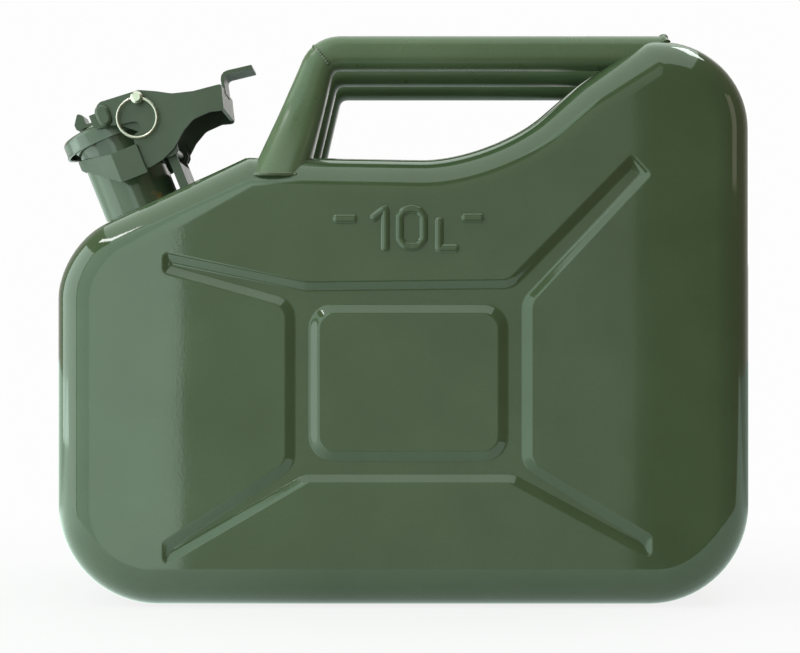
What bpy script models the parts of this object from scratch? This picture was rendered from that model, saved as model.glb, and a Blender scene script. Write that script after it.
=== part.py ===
"""Ten litre steel fuel can with three carrying bars and a cam lever closure. Metres, +Z up.

The can stands on its base at Z = 0. X runs along its length, with the filler neck at -X, and Y runs across its two
broad faces. The closure is drawn in the neck's own frame: its X, called R here, runs rearwards from the neck's axis,
and its Z, called H, runs up that axis from the shoulder."""

import math

import bmesh
import bpy
from mathutils import Vector

# Fits
GAP = 0.0003
SLIDE_GAP = 0.0004
PIN_CLEARANCE = 0.00015

# Body, pressed from sheet in two halves
BODY_LENGTH = 0.345
BODY_DEPTH = 0.165
BODY_HEIGHT = 0.2815
BODY_SHEET = 0.0009
EDGE_RADIUS = 0.0195
BASE_RADIUS = 0.050
REAR_RADIUS = 0.0445
FRONT_RADIUS = 0.042
FRONT_CORNER_DROP = 0.1020
SHOULDER_LENGTH = 0.0945
SHOULDER_TOP_DROP = 0.0579
SHOULDER_RADIUS = 0.012
DECK_FALL = 0.0020
DECK_END_FROM_REAR = 0.1298
SADDLE_RADIUS = 0.090
SADDLE_BREAK_FROM_REAR = 0.0851
SADDLE_BREAK_DROP = 0.0220
SADDLE_BREAK_RADIUS = 0.060
CREST_FROM_REAR = 0.0510
CREST_RADIUS = 0.010
SHARPEST_RADIUS = 0.0006

# Seam round the middle, sunk in a channel
SEAM_CHANNEL_DEPTH = 0.005
SEAM_CHANNEL_WIDTH = 0.010
SEAM_CHANNEL_SLOPE = 0.004
SEAM_RIB_HEIGHT = 0.0026
SEAM_RIB_WIDTH = 0.003

# Pressed cross and centre panel on each broad face
CROSS_DEPTH = 0.003
CROSS_WALL = 0.0026
CROSS_FROM_FRONT = 0.0545
CROSS_FROM_REAR = 0.0507
CROSS_LOW_TIP_Z = 0.0228
CROSS_TIP_WIDTH = 0.0080
CROSS_REAR_LIFT = 0.0035
CROSS_HIGH_TIP_DROP = 0.0592
CROSS_TIP_RADIUS = 0.0015
CROSS_CORNER_RADIUS = 0.005
PANEL_LENGTH = 0.0950
PANEL_HEIGHT = 0.0745
PANEL_RADIUS = 0.012
PANEL_CENTRE_X = 0.0025
PANEL_CENTRE_Z = 0.1112
RING_CHANNEL = 0.0030
RING_RISE = 0.0110
FIELD_SIDE = 0.0118
FIELD_INSET = 0.0020

# Carrying bars
BAR_RISE = 0.0031
BAR_HEIGHT = 0.0169
BAR_WIDTH = 0.022
BAR_EDGE_WIDTH = 0.0092
BAR_EDGE_DROP = 0.0062
BAR_SPACING = 0.058
BAR_SHEET = 0.0012
BAR_END_FROM_REAR = 0.0440
BAR_BEND_RADIUS = 0.022
POST_SETBACK = 0.0026
POST_LEAN = 0.0300
POST_FOOT_WIDTH = 0.0262
POST_HEAD_WIDTH = 0.0086
POST_INSIDE_RADIUS = 0.002
POST_BURIED = 0.018
FOOT_FLARE = 0.006
FOOT_FLARE_HEIGHT = 0.0264
FOOT_FLARE_REACH = 0.034

# Filler neck
NECK_FROM_FRONT = 0.0354
NECK_TILT = math.radians(22)
NECK_RADIUS = 0.0205
NECK_SHEET = 0.0012
NECK_BURIED = 0.0035
NECK_LIP_H = 0.0500
NECK_LIP_RADIUS = 0.0225
NECK_LIP_HEIGHT = 0.0050
NECK_WELD_RADIUS = 0.0032
BREATHER_RADIUS = 0.0035
BREATHER_WALL = 0.0008
BREATHER_TOP_H = 0.0440
BREATHER_LOW_H = -0.0120
BREATHER_END_R = 0.0480
BREATHER_BEND_RADIUS = 0.010

# Lid
CAP_RADIUS = 0.0270
CAP_FLARE = 0.0004
CAP_SHEET = 0.0012
CAP_SKIRT = 0.0090
CAP_DOME_RADIUS = 0.0145
CAP_DOME_RISE = 0.0030
CAP_DOME_SLOPE = 0.0040
CAP_EDGE_RADIUS = 0.0022
GASKET_INNER_RADIUS = 0.0180
GASKET_THICKNESS = 0.0017
CAP_RIVET_RADIUS = 0.0025
CAP_RIVET_HEAD_RADIUS = 0.0050
CAP_RIVET_HEAD = 0.0014

# Bridge over the lid, and the rear pin that it swings on
BRIDGE_SHEET = 0.0015
BRIDGE_FRONT_R = -0.0050
BRIDGE_REAR_R = 0.0095
STRIP_WIDTH = 0.016
STRIP_FRONT_R = -0.0165
TONGUE_HEIGHT = 0.0072
TONGUE_LENGTH = 0.0060
HINGE_R = 0.0269
HINGE_H = 0.0280
HINGE_PIN_RADIUS = 0.0025
HINGE_EYE_RADIUS = 0.0052
ARM_WIDTH = 0.0095
BRACKET_WIDTH = 0.048
BRACKET_SHEET = 0.0020
BRACKET_FRONT_R = 0.0245
BRACKET_BACK_R = 0.0293
BRACKET_TOP_RADIUS = 0.0046

# Lever
LEVER_SHEET = 0.0018
PIVOT_R = 0.0024
PIVOT_H = 0.0552
PIVOT_RADIUS = 0.0026
PIVOT_HEAD_LENGTH = 0.0118
PIVOT_HEAD_WIDTH = 0.0078
PIVOT_HEAD_HEIGHT = 0.0024
CHEEK_NOSE = (
    (0.0007, 0.0505, 0.002),
    (0.0070, 0.0480, 0.002),
    (0.0175, 0.0462, 0.0022),
    (0.0185, 0.0412, 0.0022),
    (0.0124, 0.0400, 0.002),
    (0.0118, 0.0340, 0.002),
)
CHEEK_TAIL = (
    (0.0155, 0.0213, 0.0025),
    (0.0225, 0.0227, 0.004),
    (0.0300, 0.0258, 0.004),
    (0.0374, 0.0322, 0.004),
    (0.0448, 0.0362, 0.006),
    (0.0544, 0.0366, 0.004),
    (0.0614, 0.0345, 0.002),
    (0.0650, 0.0478, 0.0015),
    (0.0502, 0.0497, 0.010),
    (0.0395, 0.0527, 0.010),
    (0.0324, 0.0568, 0.006),
    (0.0243, 0.0608, 0.006),
    (0.0034, 0.0625, 0.003),
    (0.0007, 0.0612, 0.0015),
)
WEB_TOP = (
    (0.0300, 0.0576),
    (0.0395, 0.0527),
    (0.0502, 0.0497),
    (0.0646, 0.0478),
)
WEB_THICKNESS = 0.0019
END_PLATE = (
    (0.0598, 0.0362, 0),
    (0.0616, 0.0358, 0),
    (0.0650, 0.0472, 0),
    (0.0632, 0.0480, 0),
)
TAB_OUTLINE = (
    (0.0632, 0.0455, 0),
    (0.0648, 0.0450, 0),
    (0.0672, 0.0545, 0.0025),
    (0.0829, 0.0522, 0.0006),
    (0.0832, 0.0541, 0.0006),
    (0.0660, 0.0568, 0.0043),
)
TAB_WIDTH = 0.026

# Yoke round the neck
YOKE_SHEET = 0.0020
YOKE_LEAVES_AT = math.radians(140)
YOKE_FRONT_LOW_H = 0.0370
YOKE_FRONT_HIGH_H = 0.0420
WING_LOW_H = 0.0190
WING_HIGH_H = 0.0350
WING_REAR_R = 0.0130
STUD_R = 0.0085
STUD_H = 0.0275
STUD_RADIUS = 0.0024

# Safety pin and its ring
SAFETY_R = 0.0223
SAFETY_H = 0.0568
SAFETY_RADIUS = 0.0017
SAFETY_TIP = 0.0050
EYE_RADIUS = 0.0032
EYE_LENGTH = 0.0062
EYE_HOLE_RADIUS = 0.0016
RING_RADIUS = 0.0103
RING_WIRE_RADIUS = 0.0008

# Steps in round stretches
CORNER_STEPS = 6
EDGE_STEPS = 4
SMALL_CORNER_STEPS = 3
NECK_STEPS = 36
ROUND_STEPS = 20
WIRE_STEPS = 8
RING_STEPS = 28

# Places that follow from the sizes above
HALF_DEPTH = BODY_DEPTH / 2
HALF_LENGTH = BODY_LENGTH / 2
FRONT_CORNER_Z = BODY_HEIGHT - FRONT_CORNER_DROP
SHOULDER_TOP_X = SHOULDER_LENGTH - HALF_LENGTH
SHOULDER_TOP_Z = BODY_HEIGHT - SHOULDER_TOP_DROP
BAR_TOP_Z = BODY_HEIGHT + BAR_RISE
BAR_LOW_Z = BAR_TOP_Z - BAR_HEIGHT
FOOT_FLARE_Z = SHOULDER_TOP_Z + FOOT_FLARE_HEIGHT
NECK_X = NECK_FROM_FRONT - HALF_LENGTH
ARM_INNER_Y = CAP_RADIUS + CAP_FLARE + SLIDE_GAP
ARM_OUTER_Y = ARM_INNER_Y + BRIDGE_SHEET
CHEEK_INNER_Y = ARM_OUTER_Y + SLIDE_GAP
CHEEK_OUTER_Y = CHEEK_INNER_Y + LEVER_SHEET
WING_INNER_Y = CHEEK_OUTER_Y + SLIDE_GAP
WING_MIDDLE_Y = WING_INNER_Y + YOKE_SHEET / 2
CAP_RIM_H = NECK_LIP_H + GAP + GASKET_THICKNESS + GAP + CAP_SHEET
CAP_TOP_H = CAP_RIM_H + CAP_DOME_RISE
BRIDGE_LOW_H = CAP_TOP_H + GAP
BRIDGE_HIGH_H = BRIDGE_LOW_H + BRIDGE_SHEET
EYE_Y = -(CHEEK_OUTER_Y + GAP + EYE_LENGTH / 2)


def clear_scene():
    for item in list(bpy.data.objects):
        bpy.data.objects.remove(item)


def paint(name, colour, roughness, metallic):
    """A plain material with the sub-part's colour (sRGB, 0 to 255), roughness and metallic value."""
    material = bpy.data.materials.new(name)
    material.use_nodes = True
    shader = material.node_tree.nodes["Principled BSDF"]
    linear = [((c / 255 + 0.055) / 1.055) ** 2.4 for c in colour]
    shader.inputs["Base Color"].default_value = (*linear, 1)
    shader.inputs["Roughness"].default_value = roughness
    shader.inputs["Metallic"].default_value = metallic
    return material


def enamel(name):
    return paint(name + "_enamel", (80, 97, 72), 0.28, 0.0)


def bright_wire(name):
    return paint(name + "_nickel", (205, 200, 188), 0.25, 1.0)


def place(name, bm, material, carrier=None, shift=(0, 0, 0)):
    """Makes the object from bm, moved back by shift so that its origin is at its carrier."""
    bmesh.ops.translate(bm, verts=bm.verts, vec=-Vector(shift))
    bmesh.ops.recalc_face_normals(bm, faces=bm.faces)
    mesh = bpy.data.meshes.new(name)
    bm.to_mesh(mesh)
    bm.free()
    piece = bpy.data.objects.new(name, mesh)
    bpy.context.collection.objects.link(piece)
    mesh.materials.append(material)
    mesh.shade_smooth()
    mesh.set_sharp_from_angle(angle=math.radians(32))
    piece.parent = carrier
    return piece


def tool(name, bm, carrier=None, shift=(0, 0, 0)):
    """A solid that only shapes others: shown as wire and left out of the finished part."""
    solid = place(name, bm, paint(name, (200, 60, 60), 0.5, 0.0), carrier, shift)
    solid.hide_render = True
    solid.display_type = "WIRE"
    return solid


def shape(piece, operation, *others):
    for other in others:
        modifier = piece.modifiers.new(operation.lower() + "_" + other.name, "BOOLEAN")
        modifier.operation = operation
        modifier.object = other


def point_empty(name, location, carrier=None, tilt=0.0):
    empty = bpy.data.objects.new(name, None)
    empty.location = location
    empty.rotation_euler = (0, -tilt, 0)
    empty.empty_display_size = 0.01
    empty.parent = carrier
    bpy.context.collection.objects.link(empty)
    return empty


def moved_corners(corners, inset):
    """The corners (x, z, radius) of an anticlockwise outline, with each edge moved inwards by inset."""
    moved = []
    for index, (x, z, radius) in enumerate(corners):
        here = Vector((x, z))
        into = (here - Vector(corners[index - 1][:2])).normalized()
        out = (Vector(corners[(index + 1) % len(corners)][:2]) - here).normalized()
        normals = Vector((-into.y - out.y, into.x + out.x))
        point = here + normals * (inset / (1 + into.dot(out)))
        hollow = into.x * out.y - into.y * out.x < 0
        wanted = radius + inset if hollow else radius - inset
        moved.append((point.x, point.y, max(wanted, SHARPEST_RADIUS) if radius else 0))
    return moved


def rounded(corners, steps, inset=0.0):
    """The outline's points (x, z), with an arc of so many steps at each corner that has a radius."""
    points = []
    corners = moved_corners(corners, inset)
    for index, (x, z, radius) in enumerate(corners):
        here = Vector((x, z))
        if not radius:
            points.append((x, z))
            continue
        into = (here - Vector(corners[index - 1][:2])).normalized()
        out = (Vector(corners[(index + 1) % len(corners)][:2]) - here).normalized()
        turn = math.atan2(into.x * out.y - into.y * out.x, into.dot(out))
        reach = radius * math.tan(abs(turn) / 2)
        side = math.copysign(radius, turn)
        centre = here - into * reach + Vector((-into.y, into.x)) * side
        start = math.atan2(-into.x * side, into.y * side)
        for step in range(steps + 1):
            angle = start + turn * step / steps
            points.append((centre.x + radius * math.cos(angle), centre.y + radius * math.sin(angle)))
    return points


def ring(bm, outline, y):
    return [bm.verts.new((x, y, z)) for x, z in outline]


def bridge(bm, first, second):
    for index in range(len(first)):
        bm.faces.new((first[index - 1], first[index], second[index], second[index - 1]))


def fill(bm, *loops):
    """Flat faces inside the first loop and outside the others."""
    edges = []
    for loop in loops:
        for index in range(len(loop)):
            ends = (loop[index - 1], loop[index])
            edges.append(bm.edges.get(ends) or bm.edges.new(ends))
    bmesh.ops.triangle_fill(bm, use_beauty=True, edges=edges)


def prism(bm, corners, low_y, high_y, steps=SMALL_CORNER_STEPS):
    """A plate with the given side outline."""
    outline = rounded(corners, steps)
    near = ring(bm, outline, low_y)
    far = ring(bm, outline, high_y)
    bridge(bm, near, far)
    fill(bm, near)
    fill(bm, far)


def cushioned(bm, corners, low_y, high_y, edge_width, edge_drop, inset=0.0):
    """A plate whose long edges are rounded, so wide along Y and so deep, drawn inwards by inset all over."""
    stations = []
    for step in range(EDGE_STEPS + 1):
        angle = math.radians(90) * step / EDGE_STEPS
        sunk = edge_drop - (edge_drop - inset) * math.sin(angle)
        stations.append((sunk, edge_width - (edge_width - inset) * math.cos(angle)))
    rings = [ring(bm, rounded(corners, CORNER_STEPS, sunk), low_y + along) for sunk, along in stations]
    rings += [ring(bm, rounded(corners, CORNER_STEPS, sunk), high_y - along) for sunk, along in stations[::-1]]
    for first, second in zip(rings, rings[1:]):
        bridge(bm, first, second)
    fill(bm, rings[0])
    fill(bm, rings[-1])


def turned(bm, profile, steps=ROUND_STEPS, centre=(0, 0, 0)):
    """A solid of revolution about H from a closed profile of (radius, h) points that stays off the axis."""
    rings = []
    for step in range(steps):
        angle = 2 * math.pi * step / steps
        turn = Vector((math.cos(angle), math.sin(angle), 0))
        rings.append([bm.verts.new(Vector(centre) + turn * r + Vector((0, 0, h))) for r, h in profile])
    for step in range(steps):
        bridge(bm, rings[step - 1], rings[step])


def rod(bm, r, h, radius, low_y, high_y, steps=ROUND_STEPS, chamfer=0.0):
    """A round bar along Y, with both ends chamfered if wanted."""
    stations = [(radius, low_y), (radius, high_y)]
    if chamfer:
        stations = [
            (radius - chamfer, low_y),
            (radius, low_y + chamfer),
            (radius, high_y - chamfer),
            (radius - chamfer, high_y),
        ]
    rings = []
    for size, y in stations:
        angles = [2 * math.pi * step / steps for step in range(steps)]
        rings.append([bm.verts.new((r + size * math.cos(a), y, h + size * math.sin(a))) for a in angles])
    for first, second in zip(rings, rings[1:]):
        bridge(bm, first, second)
    bm.faces.new(rings[0])
    bm.faces.new(rings[-1])


def swept_tube(bm, path, radius, wall, steps=12):
    """An open tube of that outer radius and wall along a path that lies in the XZ plane."""
    outer = []
    inner = []
    for index, point in enumerate(path):
        before = Vector(path[max(index - 1, 0)])
        after = Vector(path[min(index + 1, len(path) - 1)])
        along = (after - before).normalized()
        up = along.cross(Vector((0, 1, 0)))
        angles = [2 * math.pi * step / steps for step in range(steps)]
        spokes = [up * math.cos(a) + Vector((0, 1, 0)) * math.sin(a) for a in angles]
        outer.append([bm.verts.new(Vector(point) + spoke * radius) for spoke in spokes])
        inner.append([bm.verts.new(Vector(point) + spoke * (radius - wall)) for spoke in spokes])
    for skin in (outer, inner):
        for first, second in zip(skin, skin[1:]):
            bridge(bm, first, second)
    bridge(bm, outer[0], inner[0])
    bridge(bm, outer[-1], inner[-1])


def body_corners():
    """The body's side outline, anticlockwise from the front of the base."""
    return [
        (-HALF_LENGTH, 0, BASE_RADIUS),
        (HALF_LENGTH, 0, BASE_RADIUS),
        (HALF_LENGTH, BODY_HEIGHT, REAR_RADIUS),
        (HALF_LENGTH - CREST_FROM_REAR, BODY_HEIGHT, CREST_RADIUS),
        (HALF_LENGTH - SADDLE_BREAK_FROM_REAR, BODY_HEIGHT - SADDLE_BREAK_DROP, SADDLE_BREAK_RADIUS),
        (HALF_LENGTH - DECK_END_FROM_REAR, SHOULDER_TOP_Z - DECK_FALL, SADDLE_RADIUS),
        (SHOULDER_TOP_X, SHOULDER_TOP_Z, SHOULDER_RADIUS),
        (-HALF_LENGTH, FRONT_CORNER_Z, FRONT_RADIUS),
    ]


def cap_front_x():
    """The foremost point of the closed lid, just under its rim."""
    return NECK_X - CAP_RADIUS * math.cos(NECK_TILT) - (CAP_RIM_H - CAP_EDGE_RADIUS) * math.sin(NECK_TILT)


def shoulder_slope():
    return (SHOULDER_TOP_Z - FRONT_CORNER_Z) / (SHOULDER_TOP_X + HALF_LENGTH)


def shoulder_z(x):
    return FRONT_CORNER_Z + (x + HALF_LENGTH) * shoulder_slope()


def panel_corners(margin_x=0.0, low=0.0, high=0.0):
    """The centre panel's foot outline, or a frame round it with those margins at the sides, below and above."""
    half = PANEL_LENGTH / 2
    left = PANEL_CENTRE_X - half - margin_x
    right = PANEL_CENTRE_X + half + margin_x
    bottom = PANEL_CENTRE_Z - PANEL_HEIGHT / 2 - low
    top = PANEL_CENTRE_Z + PANEL_HEIGHT / 2 + high
    return [
        (left, bottom, PANEL_RADIUS),
        (right, bottom, PANEL_RADIUS),
        (right, top, PANEL_RADIUS),
        (left, top, PANEL_RADIUS),
    ]


def cross_corners():
    """The pressed cross's outer outline: four arms round a ring, anticlockwise from the upper front arm."""
    tip = CROSS_TIP_RADIUS
    bend = CROSS_CORNER_RADIUS
    front = CROSS_FROM_FRONT - HALF_LENGTH
    rear = HALF_LENGTH - CROSS_FROM_REAR
    front_high = FRONT_CORNER_Z - 0.66 * CROSS_TIP_WIDTH
    rear_high = BODY_HEIGHT - CROSS_HIGH_TIP_DROP
    rear_low = CROSS_LOW_TIP_Z + CROSS_REAR_LIFT
    ring = panel_corners(RING_CHANNEL, RING_RISE, RING_RISE)
    field = panel_corners(FIELD_SIDE, RING_CHANNEL, RING_CHANNEL - FIELD_INSET)
    (ring_left, ring_bottom, _), (ring_right, ring_top, _) = ring[0], ring[2]
    (field_left, field_bottom, _), (field_right, field_top, _) = field[0], field[2]
    return [
        (front, front_high + CROSS_TIP_WIDTH / 20, tip),
        (front, front_high - CROSS_TIP_WIDTH, tip),
        (field_left, field_top, bend),
        (field_left, field_bottom, bend),
        (front, CROSS_LOW_TIP_Z + CROSS_TIP_WIDTH, tip),
        (front, CROSS_LOW_TIP_Z, tip),
        (ring_left, ring_bottom, bend),
        (ring_right, ring_bottom, bend),
        (rear, rear_low, tip),
        (rear, rear_low + CROSS_TIP_WIDTH, tip),
        (field_right, field_bottom, bend),
        (field_right, field_top + FIELD_INSET, bend),
        (rear, rear_high - CROSS_TIP_WIDTH, tip),
        (rear - CROSS_TIP_WIDTH, rear_high, tip),
        (ring_right, ring_top, bend),
        (ring_left, ring_top, bend),
    ]


def shell_skin(bm, wall):
    """One skin of the near half, drawn inwards by wall. Returns its ring at the middle of the can."""
    radius = EDGE_RADIUS - wall
    stations = []
    for step in range(EDGE_STEPS + 1):
        angle = math.radians(90) * step / EDGE_STEPS
        y = EDGE_RADIUS - HALF_DEPTH - radius * math.cos(angle)
        stations.append((EDGE_RADIUS - radius * math.sin(angle), y))
    lean = wall * math.tan(math.radians(22.5))
    stations.append((wall, -SEAM_CHANNEL_WIDTH / 2 - SEAM_CHANNEL_SLOPE - lean))
    stations.append((wall + SEAM_CHANNEL_DEPTH, -SEAM_CHANNEL_WIDTH / 2 - lean))
    stations.append((wall + SEAM_CHANNEL_DEPTH, -GAP / 2))
    rings = [ring(bm, rounded(body_corners(), CORNER_STEPS, inset), y) for inset, y in stations]
    for first, second in zip(rings, rings[1:]):
        bridge(bm, first, second)
    face_y = wall - HALF_DEPTH
    floor_y = face_y + CROSS_DEPTH
    cross_top = ring(bm, rounded(cross_corners(), SMALL_CORNER_STEPS), face_y)
    cross_floor = ring(bm, rounded(cross_corners(), SMALL_CORNER_STEPS, CROSS_WALL), floor_y)
    panel_floor = ring(bm, rounded(panel_corners(), CORNER_STEPS), floor_y)
    panel_top = ring(bm, rounded(panel_corners(), CORNER_STEPS, CROSS_WALL), face_y)
    bridge(bm, cross_top, cross_floor)
    bridge(bm, panel_floor, panel_top)
    fill(bm, rings[0], cross_top)
    fill(bm, cross_floor, panel_floor)
    fill(bm, panel_top)
    return rings[-1]


def make_shells(can, neck_hole):
    for name, side in (("near_shell", 1), ("far_shell", -1)):
        bm = bmesh.new()
        bridge(bm, shell_skin(bm, 0.0), shell_skin(bm, BODY_SHEET))
        bmesh.ops.scale(bm, vec=(1, side, 1), verts=bm.verts)
        shell = place(name, bm, enamel(name), can)
        shape(shell, "DIFFERENCE", neck_hole)


def body_block(can):
    """The space that the body fills, without its channel and cross, and with a gap all round."""
    reach = HALF_DEPTH + GAP
    edge = EDGE_RADIUS + GAP
    bm = bmesh.new()
    cushioned(bm, moved_corners(body_corners(), -GAP), -reach, reach, edge, edge)
    return tool("body_block", bm, can)


def make_seam(can, neck_hole):
    low = SEAM_CHANNEL_DEPTH - GAP
    high = low - SEAM_RIB_HEIGHT
    half = SEAM_RIB_WIDTH / 2
    stations = [(low, -half), (high, -half * 0.6), (high, half * 0.6), (low, half)]
    bm = bmesh.new()
    rings = [ring(bm, rounded(body_corners(), CORNER_STEPS, inset), y) for inset, y in stations]
    for index in range(len(rings)):
        bridge(bm, rings[index - 1], rings[index])
    seam = place("seam_weld", bm, enamel("seam_weld"), can)
    shape(seam, "DIFFERENCE", neck_hole)


def bar_corners():
    """A carrying bar's side outline with its post, run on into the body at both ends."""
    foot = Vector((SHOULDER_TOP_X + POST_SETBACK, SHOULDER_TOP_Z))
    head = Vector((foot.x + POST_LEAN, BAR_TOP_Z))
    inner_foot = foot + Vector((POST_FOOT_WIDTH, 0))
    inner_head = Vector((head.x + POST_HEAD_WIDTH, BAR_LOW_Z))
    end_x = HALF_LENGTH - BAR_END_FROM_REAR
    outer = (foot - head).normalized()
    inner = (inner_foot - inner_head).normalized()
    outer_low = foot + outer * POST_BURIED
    inner_low = inner_foot + inner * POST_BURIED
    outer_flare = head + outer * ((FOOT_FLARE_Z - head.y) / outer.y)
    inner_flare = inner_head + inner * ((FOOT_FLARE_Z - inner_head.y) / inner.y)
    return [
        (*outer_low, 0),
        (*inner_low, 0),
        (*inner_flare, 0),
        (*inner_head, POST_INSIDE_RADIUS),
        (end_x + BAR_EDGE_WIDTH, BAR_LOW_Z, 0),
        (end_x, BAR_TOP_Z, SHARPEST_RADIUS),
        (*head, BAR_BEND_RADIUS),
        (*outer_flare, 0),
    ]


def flare_foot(bm, middle, outward):
    """Leans the outer side of the post's foot outwards, so that it wraps over the body's rounded edge."""
    for vert in bm.verts:
        if vert.co.z < FOOT_FLARE_Z and (vert.co.y - middle) * outward > 0:
            vert.co.y += outward * FOOT_FLARE * (FOOT_FLARE_Z - vert.co.z) / FOOT_FLARE_REACH


def make_bars(can, block):
    for name, place_y in (("near_handle", -1), ("middle_handle", 0), ("far_handle", 1)):
        middle = place_y * BAR_SPACING
        solids = []
        for inset in (0.0, BAR_SHEET):
            bm = bmesh.new()
            low_y = middle - BAR_WIDTH / 2
            high_y = middle + BAR_WIDTH / 2
            cushioned(bm, bar_corners(), low_y, high_y, BAR_EDGE_WIDTH, BAR_EDGE_DROP, inset)
            if place_y:
                flare_foot(bm, middle, place_y)
            solids.append(bm)
        bar = place(name, solids[0], enamel(name), can)
        hollow = tool(name + "_hollow", solids[1], can)
        shape(bar, "DIFFERENCE", hollow, block)


def neck_cylinder(name, frame, radius, low_h, high_h):
    bm = bmesh.new()
    bmesh.ops.create_cone(
        bm, cap_ends=True, segments=NECK_STEPS, radius1=radius, radius2=radius, depth=high_h - low_h
    )
    bmesh.ops.translate(bm, verts=bm.verts, vec=(0, 0, (low_h + high_h) / 2))
    return tool(name, bm, frame)


def make_neck(frame, block, neck_hole):
    bore = NECK_RADIUS - NECK_SHEET
    lip = NECK_LIP_H
    bead = NECK_LIP_HEIGHT
    profile = [
        (bore, -NECK_BURIED),
        (NECK_RADIUS, -NECK_BURIED),
        (NECK_RADIUS, lip - bead - (NECK_LIP_RADIUS - NECK_RADIUS)),
        (NECK_LIP_RADIUS, lip - bead),
        (NECK_LIP_RADIUS, lip - 0.3 * bead),
        (NECK_LIP_RADIUS - 0.3 * bead, lip),
        (bore + 0.2 * bead, lip),
        (bore, lip - 0.2 * bead),
    ]
    bm = bmesh.new()
    turned(bm, profile, NECK_STEPS)
    place("neck_tube", bm, enamel("neck_tube"), frame)
    centre = NECK_RADIUS + 0.5 * NECK_WELD_RADIUS
    angles = [2 * math.pi * step / WIRE_STEPS for step in range(WIRE_STEPS)]
    bm = bmesh.new()
    bead_profile = [
        (centre + NECK_WELD_RADIUS * math.cos(a), NECK_WELD_RADIUS * math.sin(a)) for a in angles
    ]
    turned(bm, bead_profile, NECK_STEPS)
    slope = math.atan(shoulder_slope()) - NECK_TILT
    for vert in bm.verts:
        vert.co.z += vert.co.x * math.tan(slope)
    weld = place("neck_weld", bm, enamel("neck_weld"), frame)
    shape(weld, "DIFFERENCE", neck_hole, block)


def make_breather(frame):
    """The air tube: down the rear of the neck's bore, then back under the shoulder."""
    r = NECK_RADIUS - NECK_SHEET - GAP - BREATHER_RADIUS
    bend = BREATHER_BEND_RADIUS
    path = [(r, 0, BREATHER_TOP_H)]
    for step in range(CORNER_STEPS + 1):
        angle = math.radians(90) * step / CORNER_STEPS
        path.append((r + bend * (1 - math.cos(angle)), 0, BREATHER_LOW_H + bend * (1 - math.sin(angle))))
    path.append((BREATHER_END_R, 0, BREATHER_LOW_H))
    bm = bmesh.new()
    swept_tube(bm, path, BREATHER_RADIUS, BREATHER_WALL)
    place("breather_tube", bm, enamel("breather_tube"), frame)


def yoke_stations():
    """Plan points (r, y) and the strap's lower and upper edge there, from the front round to one wing's end."""
    middle = NECK_RADIUS + GAP + YOKE_SHEET / 2
    plan = []
    for step in range(CORNER_STEPS + 1):
        angle = math.pi + (YOKE_LEAVES_AT - math.pi) * step / CORNER_STEPS
        plan.append((middle * math.cos(angle), middle * math.sin(angle)))
    leave_r, leave_y = plan[-1]
    wing_r = leave_r + (WING_MIDDLE_Y - leave_y) * math.sin(YOKE_LEAVES_AT) / -math.cos(YOKE_LEAVES_AT)
    plan += [(wing_r, WING_MIDDLE_Y), (WING_REAR_R, WING_MIDDLE_Y)]
    stations = []
    for r, y in plan:
        share = min((r + middle) / (wing_r + middle), 1)
        low = YOKE_FRONT_LOW_H + (WING_LOW_H - YOKE_FRONT_LOW_H) * share
        high = YOKE_FRONT_HIGH_H + (WING_HIGH_H - YOKE_FRONT_HIGH_H) * share
        stations.append((r, y, low, high))
    return stations


def make_yoke(frame):
    half = yoke_stations()
    stations = [(r, -y, low, high) for r, y, low, high in half[:0:-1]] + half
    bm = bmesh.new()
    sections = []
    for index, (r, y, low, high) in enumerate(stations):
        before = stations[max(index - 1, 0)]
        after = stations[min(index + 1, len(stations) - 1)]
        into = (Vector((r, y)) - Vector(before[:2])).normalized()
        out = (Vector(after[:2]) - Vector((r, y))).normalized()
        along = into + out
        width = YOKE_SHEET / 2 * (2 / along.length if into.length and out.length else 1)
        along.normalize()
        side = Vector((-along.y, along.x)) * width
        corners = ((side, low), (side, high), (-side, high), (-side, low))
        sections.append([bm.verts.new((r + s.x, y + s.y, h)) for s, h in corners])
    for first, second in zip(sections, sections[1:]):
        bridge(bm, first, second)
    bm.faces.new(sections[0])
    bm.faces.new(sections[-1])
    yoke = place("neck_yoke", bm, enamel("neck_yoke"), frame)
    for side, name in ((-1, "near_stud"), (1, "far_stud")):
        bm = bmesh.new()
        ends = sorted((side * (CHEEK_INNER_Y + GAP), side * WING_MIDDLE_Y))
        rod(bm, STUD_R, STUD_H, STUD_RADIUS, *ends)
        shape(yoke, "UNION", tool(name, bm, frame))


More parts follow.
